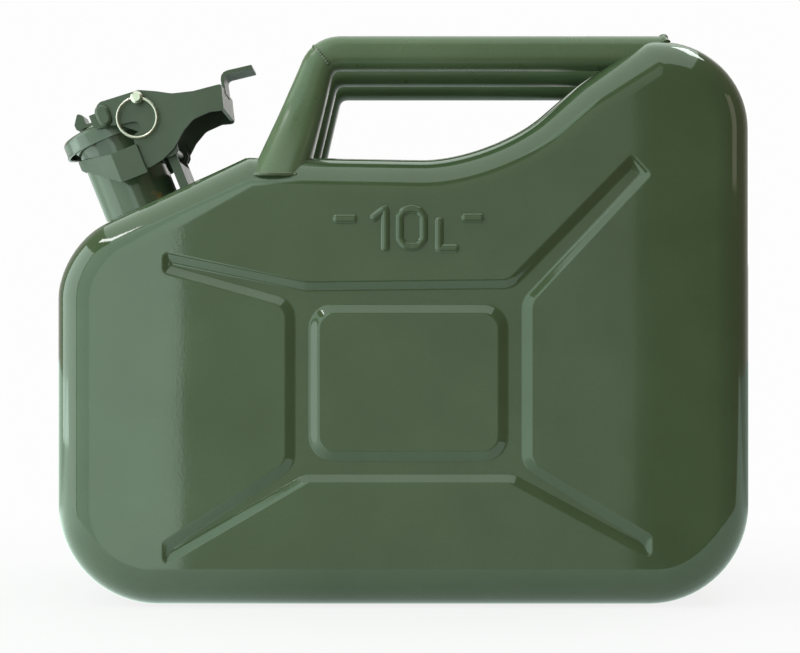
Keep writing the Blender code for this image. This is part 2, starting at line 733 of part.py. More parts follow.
def make_bracket(frame, block):
    """A channel that stands behind the neck, with two ears for the rear pin."""
    top = HINGE_H + BRACKET_TOP_RADIUS
    half = BRACKET_WIDTH / 2
    low = -0.006
    ear_front = HINGE_R - BRACKET_TOP_RADIUS
    ears = [
        (BRACKET_FRONT_R, low, 0),
        (BRACKET_BACK_R, low, 0),
        (BRACKET_BACK_R, HINGE_H - BRACKET_TOP_RADIUS, 0.001),
        (HINGE_R + BRACKET_TOP_RADIUS, HINGE_H - 0.5 * BRACKET_TOP_RADIUS, 0.001),
        (HINGE_R + BRACKET_TOP_RADIUS, top, BRACKET_TOP_RADIUS * 0.95),
        (ear_front, top, BRACKET_TOP_RADIUS * 0.95),
        (ear_front, HINGE_H - 0.5 * BRACKET_TOP_RADIUS, 0.001),
        (BRACKET_FRONT_R, HINGE_H - BRACKET_TOP_RADIUS, 0.001),
    ]
    bm = bmesh.new()
    prism(bm, ears, -half, half)
    bracket = place("hinge_bracket", bm, enamel("hinge_bracket"), frame)
    inside = half - BRACKET_SHEET
    back = BRACKET_BACK_R - BRACKET_SHEET
    bm = bmesh.new()
    window = [
        (ear_front - 0.01, low - 0.01, 0),
        (back, low - 0.01, 0),
        (back, HINGE_H - 2 * BRACKET_TOP_RADIUS, 0),
        (HINGE_R + 3 * BRACKET_TOP_RADIUS, HINGE_H - BRACKET_TOP_RADIUS, 0),
        (HINGE_R + 3 * BRACKET_TOP_RADIUS, top + 0.01, 0),
        (ear_front - 0.01, top + 0.01, 0),
    ]
    prism(bm, window, -inside, inside)
    slot = tool("bracket_slot", bm, frame)
    bm = bmesh.new()
    rod(bm, HINGE_R, HINGE_H, HINGE_PIN_RADIUS + PIN_CLEARANCE, -half - 0.01, half + 0.01)
    bore = tool("bracket_bore", bm, frame)
    shape(bracket, "DIFFERENCE", slot, bore, block)
    bm = bmesh.new()
    rod(bm, HINGE_R, HINGE_H, HINGE_PIN_RADIUS, -ARM_OUTER_Y, ARM_OUTER_Y, chamfer=0.0003)
    place("hinge_pin", bm, paint("hinge_pin_steel", (120, 122, 118), 0.4, 1.0), frame)


def make_cap(carrier, shift):
    skirt_low = CAP_RIM_H - CAP_SKIRT
    edge = CAP_EDGE_RADIUS
    inner = CAP_RADIUS - CAP_SHEET
    slope_radius = CAP_DOME_RADIUS + CAP_DOME_SLOPE
    hole = CAP_RIVET_RADIUS + PIN_CLEARANCE
    profile = [
        (hole, CAP_TOP_H),
        (CAP_DOME_RADIUS, CAP_TOP_H),
        (slope_radius, CAP_RIM_H),
        (CAP_RADIUS - edge, CAP_RIM_H),
        (CAP_RADIUS - 0.3 * edge, CAP_RIM_H - 0.3 * edge),
        (CAP_RADIUS, CAP_RIM_H - edge),
        (CAP_RADIUS + CAP_FLARE, skirt_low),
        (inner + CAP_FLARE, skirt_low),
        (inner, CAP_RIM_H - CAP_SHEET),
        (slope_radius - 0.4 * CAP_SHEET, CAP_RIM_H - CAP_SHEET),
        (CAP_DOME_RADIUS - 0.4 * CAP_SHEET, CAP_TOP_H - CAP_SHEET),
        (hole, CAP_TOP_H - CAP_SHEET),
    ]
    bm = bmesh.new()
    turned(bm, profile[::-1], NECK_STEPS)
    place("cap", bm, enamel("cap"), carrier, shift)
    gasket_high = CAP_RIM_H - CAP_SHEET - GAP
    gasket_low = NECK_LIP_H + GAP
    gasket_outer = inner - 2 * GAP
    ring_profile = [
        (GASKET_INNER_RADIUS, gasket_low),
        (gasket_outer, gasket_low),
        (gasket_outer, gasket_high),
        (GASKET_INNER_RADIUS, gasket_high),
    ]
    bm = bmesh.new()
    turned(bm, ring_profile, NECK_STEPS)
    place("gasket", bm, paint("gasket_rubber", (30, 30, 32), 0.7, 0.0), carrier, shift)


def make_cap_rivet(carrier, shift):
    head = CAP_RIVET_HEAD_RADIUS
    low = CAP_TOP_H - CAP_SHEET - GAP
    high = BRIDGE_HIGH_H + GAP
    profile = [
        (0.7 * head, low - CAP_RIVET_HEAD),
        (head, low - 0.4 * CAP_RIVET_HEAD),
        (head, low),
        (CAP_RIVET_RADIUS, low),
        (CAP_RIVET_RADIUS, high),
        (head, high),
        (head, high + 0.4 * CAP_RIVET_HEAD),
        (0.7 * head, high + CAP_RIVET_HEAD),
    ]
    bm = bmesh.new()
    steps = ROUND_STEPS
    rings = []
    for radius, h in profile:
        angles = [2 * math.pi * step / steps for step in range(steps)]
        rings.append([bm.verts.new((radius * math.cos(a), radius * math.sin(a), h)) for a in angles])
    for first, second in zip(rings, rings[1:]):
        bridge(bm, first, second)
    bm.faces.new(rings[0])
    bm.faces.new(rings[-1])
    place("cap_rivet", bm, enamel("cap_rivet"), carrier, shift)


def arm_corners():
    """The bridge's side arm: from its ear at the lid down to the eye round the rear pin."""
    eye = HINGE_EYE_RADIUS
    half = ARM_WIDTH / 2
    return [
        (BRIDGE_FRONT_R, PIVOT_H - half, 0.003),
        (PIVOT_R + half, PIVOT_H - 1.3 * half, 0.004),
        (HINGE_R - eye, HINGE_H + 1.5 * eye, 0.006),
        (HINGE_R - eye, HINGE_H - eye, 0.0048),
        (HINGE_R + eye, HINGE_H - eye, 0.0048),
        (HINGE_R + eye, HINGE_H + 2 * eye, 0.006),
        (BRIDGE_REAR_R, PIVOT_H + 0.2 * half, 0.002),
        (BRIDGE_REAR_R, BRIDGE_HIGH_H, 0),
        (BRIDGE_FRONT_R, BRIDGE_HIGH_H, 0),
    ]


def make_bridge(carrier, shift):
    half = STRIP_WIDTH / 2
    bm = bmesh.new()
    web = [
        (BRIDGE_FRONT_R, BRIDGE_LOW_H, 0),
        (BRIDGE_REAR_R, BRIDGE_LOW_H, 0),
        (BRIDGE_REAR_R, BRIDGE_HIGH_H, 0),
        (BRIDGE_FRONT_R, BRIDGE_HIGH_H, 0),
    ]
    prism(bm, web, -ARM_OUTER_Y, ARM_OUTER_Y)
    body = place("cap_bridge", bm, enamel("cap_bridge"), carrier, shift)
    tongue_top = BRIDGE_HIGH_H + TONGUE_HEIGHT
    strip = [
        (STRIP_FRONT_R, BRIDGE_LOW_H, BRIDGE_SHEET),
        (BRIDGE_REAR_R, BRIDGE_LOW_H, 0),
        (BRIDGE_REAR_R, BRIDGE_HIGH_H, 0),
        (STRIP_FRONT_R + TONGUE_LENGTH, BRIDGE_HIGH_H, 0.001),
        (STRIP_FRONT_R + TONGUE_LENGTH, tongue_top - 0.002, 0.001),
        (STRIP_FRONT_R + 0.6 * TONGUE_LENGTH, tongue_top, 0.001),
        (STRIP_FRONT_R, BRIDGE_HIGH_H + 0.002, 0.001),
    ]
    bm = bmesh.new()
    prism(bm, strip, -half, half)
    parts = [tool("bridge_strip", bm, carrier, shift)]
    for name, side in (("near_arm", -1), ("far_arm", 1)):
        bm = bmesh.new()
        prism(bm, arm_corners(), *sorted((side * ARM_INNER_Y, side * ARM_OUTER_Y)))
        parts.append(tool(name, bm, carrier, shift))
    shape(body, "UNION", *parts)
    reach = ARM_OUTER_Y + 0.01
    bm = bmesh.new()
    rod(bm, HINGE_R, HINGE_H, HINGE_PIN_RADIUS + PIN_CLEARANCE, -reach, reach)
    hinge_bore = tool("bridge_hinge_bore", bm, carrier, shift)
    bm = bmesh.new()
    rod(bm, PIVOT_R, PIVOT_H, PIVOT_RADIUS + PIN_CLEARANCE, -reach, reach)
    pivot_bore = tool("bridge_pivot_bore", bm, carrier, shift)
    bm = bmesh.new()
    bmesh.ops.create_cone(
        bm,
        cap_ends=True,
        segments=ROUND_STEPS,
        radius1=CAP_RIVET_RADIUS + PIN_CLEARANCE,
        radius2=CAP_RIVET_RADIUS + PIN_CLEARANCE,
        depth=0.02,
    )
    bmesh.ops.translate(bm, verts=bm.verts, vec=(0, 0, BRIDGE_LOW_H))
    rivet_bore = tool("bridge_rivet_bore", bm, carrier, shift)
    shape(body, "DIFFERENCE", hinge_bore, pivot_bore, rivet_bore)


def cheek_corners():
    """A lever cheek: nose over the lid, slot, claw behind the wing's stud, lobe at the rear pin, and tail."""
    hook = STUD_RADIUS + SLIDE_GAP
    claw = [
        (STUD_R + hook, STUD_H + 1.1 * hook, 0.001),
        (STUD_R + hook, STUD_H - 0.2 * hook, 0.0008),
        (STUD_R + 0.72 * hook, STUD_H - 0.80 * hook, 0.0008),
        (STUD_R - 0.05 * hook, STUD_H - 1.75 * hook, 0.0008),
    ]
    return [*CHEEK_NOSE, *claw, *CHEEK_TAIL]


def make_lever(carrier, shift):
    bm = bmesh.new()
    prism(bm, cheek_corners(), -CHEEK_OUTER_Y, -CHEEK_INNER_Y)
    lever = place("lever", bm, enamel("lever"), carrier, shift)
    bm = bmesh.new()
    prism(bm, cheek_corners(), CHEEK_INNER_Y, CHEEK_OUTER_Y)
    parts = [tool("far_cheek", bm, carrier, shift)]
    across = CHEEK_OUTER_Y - GAP
    under = [(r - WEB_THICKNESS / 3, h - WEB_THICKNESS, 0) for r, h in WEB_TOP]
    top = [(r, h, 0) for r, h in WEB_TOP]
    bm = bmesh.new()
    prism(bm, under + top[::-1], -across, across)
    parts.append(tool("lever_web", bm, carrier, shift))
    bm = bmesh.new()
    prism(bm, END_PLATE, -across, across)
    parts.append(tool("lever_end", bm, carrier, shift))
    bm = bmesh.new()
    prism(bm, TAB_OUTLINE, -TAB_WIDTH / 2, TAB_WIDTH / 2)
    parts.append(tool("lever_tab", bm, carrier, shift))
    shape(lever, "UNION", *parts)
    reach = CHEEK_OUTER_Y + 0.01
    bm = bmesh.new()
    rod(bm, PIVOT_R, PIVOT_H, PIVOT_RADIUS + PIN_CLEARANCE, -reach, reach)
    pivot_bore = tool("lever_pivot_bore", bm, carrier, shift)
    bm = bmesh.new()
    rod(bm, SAFETY_R, SAFETY_H, SAFETY_RADIUS + PIN_CLEARANCE, -reach, reach)
    safety_bore = tool("lever_safety_bore", bm, carrier, shift)
    shape(lever, "DIFFERENCE", pivot_bore, safety_bore)


def make_pivot_rivets(carrier, shift):
    """Each rivet: a round shank through cheek and ear, and an oval head with a rounded back."""
    for name, side in (("near_pivot_rivet", -1), ("far_pivot_rivet", 1)):
        seat = CHEEK_OUTER_Y + GAP
        bm = bmesh.new()
        rod(bm, PIVOT_R, PIVOT_H, PIVOT_RADIUS, *sorted((side * (ARM_INNER_Y + GAP / 2), side * (seat + 0.0008))))
        rivet = place(name, bm, enamel(name), carrier, shift)
        across = PIVOT_HEAD_WIDTH / 2
        tall = PIVOT_HEAD_LENGTH / 2
        head_corners = [
            (PIVOT_R + r * across, PIVOT_H + h * tall, across * 0.999)
            for r, h in ((-1, -1), (1, -1), (1, 1), (-1, 1))
        ]
        bm = bmesh.new()
        levels = []
        for step in range(EDGE_STEPS):
            angle = math.radians(70) * step / (EDGE_STEPS - 1)
            outline = rounded(head_corners, EDGE_STEPS, PIVOT_HEAD_HEIGHT * (1 - math.cos(angle)))
            levels.append(ring(bm, outline, side * (seat + PIVOT_HEAD_HEIGHT * math.sin(angle))))
        for first, second in zip(levels, levels[1:]):
            bridge(bm, first, second)
        bm.faces.new(levels[0])
        bm.faces.new(levels[-1])
        head = tool(name + "_head", bm, carrier, shift)
        shape(rivet, "UNION", head)


def make_safety_pin(carrier, shift):
    near = -(CHEEK_OUTER_Y + GAP)
    far = CHEEK_OUTER_Y + SAFETY_TIP
    bm = bmesh.new()
    rod(bm, SAFETY_R, SAFETY_H, SAFETY_RADIUS, near - 0.001, far, chamfer=0.0006)
    pin = place("safety_pin", bm, bright_wire("safety_pin"), carrier, shift)
    bm = bmesh.new()
    rod(bm, SAFETY_R, SAFETY_H, EYE_RADIUS, near - EYE_LENGTH, near, chamfer=0.0012)
    eye = tool("safety_eye", bm, carrier, shift)
    bm = bmesh.new()
    reach = 2 * EYE_RADIUS
    angles = [2 * math.pi * step / ROUND_STEPS for step in range(ROUND_STEPS)]
    ends = []
    for along in (-reach, reach):
        ring_points = []
        for angle in angles:
            out = EYE_HOLE_RADIUS * math.cos(angle)
            up = EYE_HOLE_RADIUS * math.sin(angle)
            ring_points.append(
                bm.verts.new((
                    SAFETY_R + along * math.cos(NECK_TILT) + up * math.sin(NECK_TILT),
                    EYE_Y + out,
                    SAFETY_H - along * math.sin(NECK_TILT) + up * math.cos(NECK_TILT),
                ))
            )
        ends.append(ring_points)
    bridge(bm, *ends)
    bm.faces.new(ends[0])
    bm.faces.new(ends[1])
    hole = tool("safety_hole", bm, carrier, shift)
    shape(pin, "UNION", eye)
    shape(pin, "DIFFERENCE", hole)


def make_ring(carrier):
    """The wire ring hangs straight down from the eye, whatever the neck's tilt."""
    bm = bmesh.new()
    rings = []
    for step in range(RING_STEPS):
        angle = 2 * math.pi * step / RING_STEPS
        spoke = Vector((math.cos(angle), 0, math.sin(angle)))
        middle = Vector((0, 0, -RING_RADIUS)) + spoke * RING_RADIUS
        circle = []
        for turn in range(WIRE_STEPS):
            around = 2 * math.pi * turn / WIRE_STEPS
            offset = spoke * math.cos(around) + Vector((0, 1, 0)) * math.sin(around)
            circle.append(bm.verts.new(middle + offset * RING_WIRE_RADIUS))
        rings.append(circle)
    for step in range(RING_STEPS):
        bridge(bm, rings[step - 1], rings[step])
    place("pin_ring", bm, bright_wire("pin_ring"), carrier)


def main():
    clear_scene()
    can = point_empty("can_centre", (-(cap_front_x() + HALF_LENGTH) / 2, 0, 0))
    frame = point_empty("neck_frame", (NECK_X, 0, shoulder_z(NECK_X)), can, NECK_TILT)
    hinge_place = (HINGE_R, 0, HINGE_H)
    pivot_place = (PIVOT_R, 0, PIVOT_H)
    safety_place = (SAFETY_R, EYE_Y, SAFETY_H)
    hinge = point_empty("cap_hinge", hinge_place, frame)
    pivot = point_empty("lever_pivot", Vector(pivot_place) - Vector(hinge_place), hinge)
    safety = point_empty("safety_slide", Vector(safety_place) - Vector(pivot_place), pivot)
    ring_swing = point_empty("ring_swing", (0, 0, 0), safety, tilt=-NECK_TILT)
    block = body_block(can)
    neck_hole = neck_cylinder("neck_hole", frame, NECK_RADIUS + GAP, -0.03, 0.03)
    make_shells(can, neck_hole)
    make_seam(can, neck_hole)
    make_bars(can, block)
    make_neck(frame, block, neck_hole)
    make_breather(frame)
    make_yoke(frame)
    make_bracket(frame, block)
    make_cap(hinge, hinge_place)
    make_cap_rivet(hinge, hinge_place)
    make_bridge(hinge, hinge_place)
    make_lever(pivot, pivot_place)
    make_pivot_rivets(pivot, pivot_place)
    make_safety_pin(safety, safety_place)
    make_ring(ring_swing)


main()
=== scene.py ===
"""Looks of a ten litre steel fuel can: pressed halves, welded bars, closure, enamel and studio light."""

import math

import bmesh
import bpy
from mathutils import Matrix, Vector, noise


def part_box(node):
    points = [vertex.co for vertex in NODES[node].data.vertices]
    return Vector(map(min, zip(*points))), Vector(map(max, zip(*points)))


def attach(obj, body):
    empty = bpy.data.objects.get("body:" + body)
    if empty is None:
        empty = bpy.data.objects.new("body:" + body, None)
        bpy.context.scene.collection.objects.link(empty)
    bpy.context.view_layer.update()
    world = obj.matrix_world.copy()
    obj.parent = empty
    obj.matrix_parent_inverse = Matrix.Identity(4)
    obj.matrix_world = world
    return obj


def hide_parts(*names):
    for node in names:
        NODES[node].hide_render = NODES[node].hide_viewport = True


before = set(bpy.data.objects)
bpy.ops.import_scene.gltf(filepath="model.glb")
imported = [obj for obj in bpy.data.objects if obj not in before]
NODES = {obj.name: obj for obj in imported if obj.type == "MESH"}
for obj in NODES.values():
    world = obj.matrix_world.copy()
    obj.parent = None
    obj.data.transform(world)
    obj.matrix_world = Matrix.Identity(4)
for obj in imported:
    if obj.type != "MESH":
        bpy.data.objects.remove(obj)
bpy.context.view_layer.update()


# The body's box, its middle along X in the frame, and the flat side's distance from the seam
BODY_LOW, BODY_HIGH = (Vector(corner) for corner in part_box("near_shell"))
MIDDLE_X = (BODY_LOW.x + BODY_HIGH.x) / 2
HALF_LENGTH = (BODY_HIGH.x - BODY_LOW.x) / 2
FACE_Y = 0.0825
BODY_TOP = BODY_HIGH.z

# The neck's radius, its lean towards the front, its foot on the shoulder, and the two directions of its frame
NECK_RADIUS = 0.0205
NECK_LEAN = math.radians(22)
NECK_FOOT = Vector((MIDDLE_X - HALF_LENGTH + 0.0354, 0, 0.19602))
NECK_BACK = Vector((math.cos(NECK_LEAN), 0, math.sin(NECK_LEAN)))
NECK_UP = Vector((-math.sin(NECK_LEAN), 0, math.cos(NECK_LEAN)))

# Shortest stretch of a rounded corner, so that drawing an outline in never folds it
SHORTEST_STEP = 0.0012
# how far two places may be apart and count as one, and how far off its level a flat face's middle may be
SAME_PLACE = 1e-6
SAME_LEVEL = 2e-5


# Helpers
def neck_point(r, y, h):
    """The place r back from the neck's middle line, y across and h up the neck."""
    return NECK_FOOT + NECK_BACK * r + NECK_UP * h + Vector((0, y, 0))


def object_mode():
    if bpy.context.object and bpy.context.object.mode != "OBJECT":
        bpy.ops.object.mode_set(mode="OBJECT")


def clear_selection():
    object_mode()
    bpy.ops.object.select_all(action="DESELECT")


def only(piece):
    clear_selection()
    piece.select_set(True)
    bpy.context.view_layer.objects.active = piece


def edit(piece):
    only(piece)
    bpy.ops.object.mode_set(mode="EDIT")
    bpy.ops.mesh.select_all(action="DESELECT")


def pick(kind, test):
    """Selects the vertices, edges or faces of the mesh in edit mode that pass the test, and no others."""
    piece = bpy.context.object
    bpy.ops.mesh.select_mode(type={"verts": "VERT", "edges": "EDGE", "faces": "FACE"}[kind])
    bpy.ops.mesh.select_all(action="DESELECT")
    bm = bmesh.from_edit_mesh(piece.data)
    for item in getattr(bm, kind):
        if test(item):
            item.select_set(True)
    bm.select_flush_mode()
    bmesh.update_edit_mesh(piece.data)


def move(x=0.0, y=0.0, z=0.0):
    bpy.ops.transform.translate(value=(x, y, z))


def named(name):
    piece = bpy.context.object
    piece.name = name
    piece.data.name = name
    return piece


def settle():
    """Puts the active piece's place, turn and scale into its mesh, so that its origin is the frame's."""
    bpy.ops.object.transform_apply(location=True, rotation=True, scale=True)


def apply_modifier(piece, kind, **settings):
    only(piece)
    modifier = piece.modifiers.new(kind.lower(), kind)
    for key, value in settings.items():
        setattr(modifier, key, value)
    bpy.ops.object.modifier_apply(modifier=modifier.name)


def smooth(piece, degrees, weighted=True):
    only(piece)
    bpy.ops.object.shade_smooth_by_angle(angle=math.radians(degrees))
    if weighted:
        apply_modifier(piece, "WEIGHTED_NORMAL", keep_sharp=True, weight=90)


def paint(piece, material):
    piece.data.materials.clear()
    piece.data.materials.append(material)


def finish(piece, material, body, *nodes):
    """Paints the piece, lets it ride with its body, and says which solids it stands for."""
    paint(piece, material)
    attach(piece, body)
    if nodes:
        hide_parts(*nodes)
    return piece


def join(pieces, name):
    clear_selection()
    for piece in pieces:
        piece.select_set(True)
    bpy.context.view_layer.objects.active = pieces[0]
    bpy.ops.object.join()
    return named(name)


def cut(piece, cutter, operation="DIFFERENCE"):
    only(piece)
    modifier = piece.modifiers.new("cut", "BOOLEAN")
    modifier.operation = operation
    modifier.object = cutter
    bpy.ops.object.modifier_apply(modifier=modifier.name)
    bpy.data.objects.remove(cutter)


def traced(corners, y, arc_steps):
    """A flat face at that y whose outline has the corners (x, z, radius), with the corners then rounded."""
    clear_selection()
    # a circle of as many points as there are corners, each of which is then moved to its place
    bpy.ops.mesh.primitive_circle_add(
        vertices=len(corners), radius=0.05, location=(0, y, 0), rotation=(math.pi / 2, 0, 0)
    )
    settle()
    piece = bpy.context.object
    places = [Vector((x, y, z)) for x, z, _ in corners]
    edit(piece)
    for index, place in enumerate(places):
        pick("verts", lambda vert: vert.index == index)
        bm = bmesh.from_edit_mesh(piece.data)
        bm.verts.ensure_lookup_table()
        step = place - bm.verts[index].co
        move(*step)
    for index, (x, z, radius) in enumerate(corners):
        here = places[index]
        before = (here - places[index - 1]).normalized()
        after = (places[(index + 1) % len(places)] - here).normalized()
        turn = before.angle(after)
        pick("verts", lambda vert: (vert.co - here).length < SAME_PLACE)
        bpy.ops.mesh.bevel(
            affect="VERTICES",
            offset=radius * math.tan(turn / 2),
            segments=max(1, min(arc_steps, int(radius * turn / SHORTEST_STEP))),
            profile=0.5,
            clamp_overlap=False,
        )
    bpy.ops.mesh.select_all(action="SELECT")
    bpy.ops.mesh.edge_face_add()
    return piece


def flat_face(y, sign):
    """Selects the faces that look along Y with that sign and lie at that y."""
    pick(
        "faces",
        lambda face: abs(face.calc_center_median().y - y) < SAME_LEVEL and face.normal.y * sign > 0.9,
    )


def inset_by(thickness, depth, merge=0.0):
    """Insets the selected faces, and merges what comes closer together than merge."""
    bpy.ops.mesh.inset(thickness=thickness, depth=depth, use_even_offset=True, use_boundary=True)
    if merge:
        bpy.ops.mesh.select_mode(type="VERT")
        bpy.ops.mesh.remove_doubles(threshold=merge)
        bpy.ops.mesh.select_mode(type="FACE")


def cushion(y, sign, radius, steps, merge):
    """Rounds the rim of the face at y: a quarter circle, out along Y and in over the face."""
    angles = [math.radians(90) * step / steps for step in range(steps + 1)]
    for first, second in zip(angles, angles[1:]):
        flat_face(y, sign)
        outwards = radius * (math.sin(second) - math.sin(first))
        inset_by(radius * (math.cos(first) - math.cos(second)), outwards, merge)
        y += sign * outwards


def outwards_normals():
    bpy.ops.mesh.select_all(action="SELECT")
    bpy.ops.mesh.normals_make_consistent(inside=False)


def extrude_all(distance):
    """Extrudes all faces of the mesh in edit mode by that distance along Y, and mends the normals."""
    pick("faces", lambda face: True)
    bpy.ops.mesh.extrude_region_move(TRANSFORM_OT_translate={"value": (0, distance, 0)})
    outwards_normals()


def arc(middle, reach, first, last, steps):
    """Places on an arc round the middle with those half axes, from the first angle to the last in degrees."""
    places = []
    for step in range(steps + 1):
        angle = math.radians(first + (last - first) * step / steps)
        places.append((middle[0] + reach[0] * math.cos(angle), middle[1] + reach[1] * math.sin(angle)))
    return places


def spun(name, profile, steps=96):
    """A round piece on the Z axis: a ring of points that is extruded and scaled from station to station."""
    clear_selection()
    radius, h = profile[0]
    bpy.ops.mesh.primitive_circle_add(vertices=steps, radius=radius, location=(0, 0, h))
    settle()
    piece = bpy.context.object
    edit(piece)
    bpy.ops.mesh.select_all(action="SELECT")
    for (last_radius, last_h), (next_radius, next_h) in zip(profile, profile[1:]):
        bpy.ops.mesh.extrude_region_move(TRANSFORM_OT_translate={"value": (0, 0, next_h - last_h)})
        share = next_radius / last_radius
        bpy.ops.transform.resize(value=(share, share, 1), center_override=(0, 0, next_h))
    object_mode()
    return named(name)


def close_round(piece):
    """Joins the last ring of a spun piece to its first, which lie on each other, and mends the normals."""
    edit(piece)
    bpy.ops.mesh.select_all(action="SELECT")
    bpy.ops.mesh.remove_doubles(threshold=SAME_PLACE)
    outwards_normals()
    object_mode()


def onto_neck(piece):
    """Takes a piece that was made upright at the frame's origin to the neck."""
    only(piece)
    piece.rotation_euler = (0, -NECK_LEAN, 0)
    piece.location = NECK_FOOT
    settle()


# Materials
def tone(code):
    """sRGB hex to linear colour."""
    parts = [int(code[start : start + 2], 16) / 255 for start in (1, 3, 5)]
    linear = [part / 12.92 if part <= 0.04045 else ((part + 0.055) / 1.055) ** 2.4 for part in parts]
    return (*linear, 1.0)


def node(tree, kind, inputs=None, **settings):
    """Adds a node with its settings, and links or sets its inputs."""
    item = tree.nodes.new(kind)
    for key, value in settings.items():
        setattr(item, key, value)
    for key, value in (inputs or {}).items():
        if isinstance(value, bpy.types.NodeSocket):
            tree.links.new(value, item.inputs[key])
        else:
            item.inputs[key].default_value = value
    return item


def new_material(name):
    material = bpy.data.materials.new(name)
    material.use_nodes = True
    tree = material.node_tree
    tree.nodes.clear()
    return material, tree


def mix_colour(tree, factor, first, second):
    item = tree.nodes.new("ShaderNodeMix")
    item.data_type = "RGBA"
    for socket, value in ((item.inputs[0], factor), (item.inputs[6], first), (item.inputs[7], second)):
        if isinstance(value, bpy.types.NodeSocket):
            tree.links.new(value, socket)
        else:
            socket.default_value = value
    return item.outputs[2]


def pattern(tree, coords, scale, detail=2.0, rough=0.5):
    """Noise of about that many cells to the metre."""
    inputs = {"Vector": coords, "Scale": scale, "Detail": detail, "Roughness": rough}
    return node(tree, "ShaderNodeTexNoise", inputs).outputs["Fac"]


def spread(tree, value, low, high, to_low=0.0, to_high=1.0):
    """Takes the value from between low and high to between to_low and to_high, and holds it there."""
    inputs = {"Value": value, "From Min": low, "From Max": high, "To Min": to_low, "To Max": to_high}
    return node(tree, "ShaderNodeMapRange", inputs).outputs["Result"]


def maths(tree, operation, first, second):
    return node(tree, "ShaderNodeMath", {0: first, 1: second}, operation=operation).outputs[0]


def bumped(tree, height, strength, distance, below=None):
    """A bump of that height pattern, on top of the bump below it where there is one."""
    inputs = {"Height": height, "Strength": strength, "Distance": distance}
    if below:
        inputs["Normal"] = below
    return node(tree, "ShaderNodeBump", inputs).outputs["Normal"]


def surfaced(tree, **inputs):
    """A Principled shader with those inputs, an underscore for each space, shown as the surface."""
    inputs = {name.replace("_", " "): value for name, value in inputs.items()}
    shader = node(tree, "ShaderNodeBsdfPrincipled", inputs)
    node(tree, "ShaderNodeOutputMaterial", {"Surface": shader.outputs["BSDF"]})


# the stain on the neck's near side: its place (back from the neck's middle line, y, up the neck), the
# distances from it where the brown ends and where it is full, and its tone
SCORCHED_SPOT = (0.0125, -0.0175, 0.0065)
SCORCHED_REACH = (0.0065, 0.002)
SCORCHED_TONE = "#b0742f"
ENAMEL_IOR = 1.52


def enamel(name, colour, rough, peel, sheet_wave=0.0, dull=0.0, coat=0.35, scorched=False):
    """Stoved enamel on sheet steel: a glossy dielectric with orange peel and slow waves of the sheet."""
    material, tree = new_material(name)
    coords = node(tree, "ShaderNodeTexCoord").outputs["Object"]
    # patches of thicker and thinner enamel, about 40 mm across
    patches = pattern(tree, coords, 26.0, 3.0)
    base = mix_colour(tree, spread(tree, patches, 0.35, 0.68), tone(colour[0]), tone(colour[1]))
    # fine mottling of the pigment, about 1.5 mm
    mottle = pattern(tree, coords, 620.0, 1.0)
    base = mix_colour(tree, spread(tree, mottle, 0.3, 0.75, 0.0, 0.22), base, tone(colour[2]))
    # handling haze: duller patches, about 10 mm across
    haze = pattern(tree, coords, 90.0, 4.0, 0.6)
    roughness = spread(tree, haze, 0.35, 0.75, rough, rough + 0.03 + dull)
    # orange peel, cells of about 1.2 mm and up to 0.4 mm deep at full strength
    bump = bumped(tree, pattern(tree, coords, 820.0, 1.5), peel, 0.0004)
    if sheet_wave:
        # waves of the drawn sheet, about 80 mm long
        bump = bumped(tree, pattern(tree, coords, 13.0, 1.0, 0.4), sheet_wave, 0.006, bump)
    if scorched:
        # enamel browned by the weld's heat low on the neck, its edge ragged by 3 to 4 mm
        spot = tuple(neck_point(*SCORCHED_SPOT))
        away = node(tree, "ShaderNodeVectorMath", {0: coords, 1: spot}, operation="DISTANCE").outputs["Value"]
        ragged = maths(tree, "ADD", away, spread(tree, haze, 0.3, 0.7, -0.003, 0.004))
        base = mix_colour(tree, spread(tree, ragged, *SCORCHED_REACH), base, tone(SCORCHED_TONE))
    surfaced(
        tree, Base_Color=base, Roughness=roughness, IOR=ENAMEL_IOR, Normal=bump,
        Coat_Weight=coat, Coat_Roughness=0.03, Coat_IOR=1.5,
    )
    return material


def bright_metal(name, colour, rough):
    """Nickel plated or bare steel: metallic, with fine drawn scratches."""
    material, tree = new_material(name)
    coords = node(tree, "ShaderNodeTexCoord").outputs["Object"]
    cells = pattern(tree, coords, 400.0, 3.0)
    base = mix_colour(tree, spread(tree, cells, 0.3, 0.7), tone(colour[0]), tone(colour[1]))
    # scratches about 1 mm apart
    scratches = pattern(tree, coords, 900.0, 2.0)
    surfaced(
        tree, Base_Color=base, Metallic=1.0, Roughness=spread(tree, scratches, 0.3, 0.8, rough, rough + 0.15),
        Normal=bumped(tree, scratches, 0.03, 0.0001),
    )
    return material


def rubber(name):
    """Moulded nitrile rubber: dark, matt, with a fine grain."""
    material, tree = new_material(name)
    coords = node(tree, "ShaderNodeTexCoord").outputs["Object"]
    # grain of about 0.7 mm
    grain = pattern(tree, coords, 1500.0, 2.0)
    base = mix_colour(tree, spread(tree, grain, 0.3, 0.7), tone("#1b1b1c"), tone("#262627"))
    surfaced(
        tree, Base_Color=base, Roughness=spread(tree, grain, 0.2, 0.8, 0.55, 0.75), IOR=1.52,
        Normal=bumped(tree, grain, 0.2, 0.0002),
    )
    return material


BODY_TONES = ("#405037", "#46563d", "#3b4a34")
# lighter than the body's tones: painted light, standing in for the light that the bars' rounded tops and
# posts catch
BAR_TONES_WITH_PAINTED_LIGHT = ("#516246", "#57684c", "#4a5b41")
NECK_TONES = ("#46543f", "#4d5b45", "#414e39")
LID_TONES = ("#445041", "#4b5847", "#3f4a3a")
LEVER_TONES = ("#3e4938", "#44503e", "#394333")
WELD_TONES = ("#48533a", "#505c42", "#434d34")

# sprayed and stoved enamel on the drawn sheet of the body: glossy, with slow waves
BODY_ENAMEL = enamel("stoved_enamel_on_drawn_sheet", BODY_TONES, rough=0.05, peel=0.025, sheet_wave=0.03)
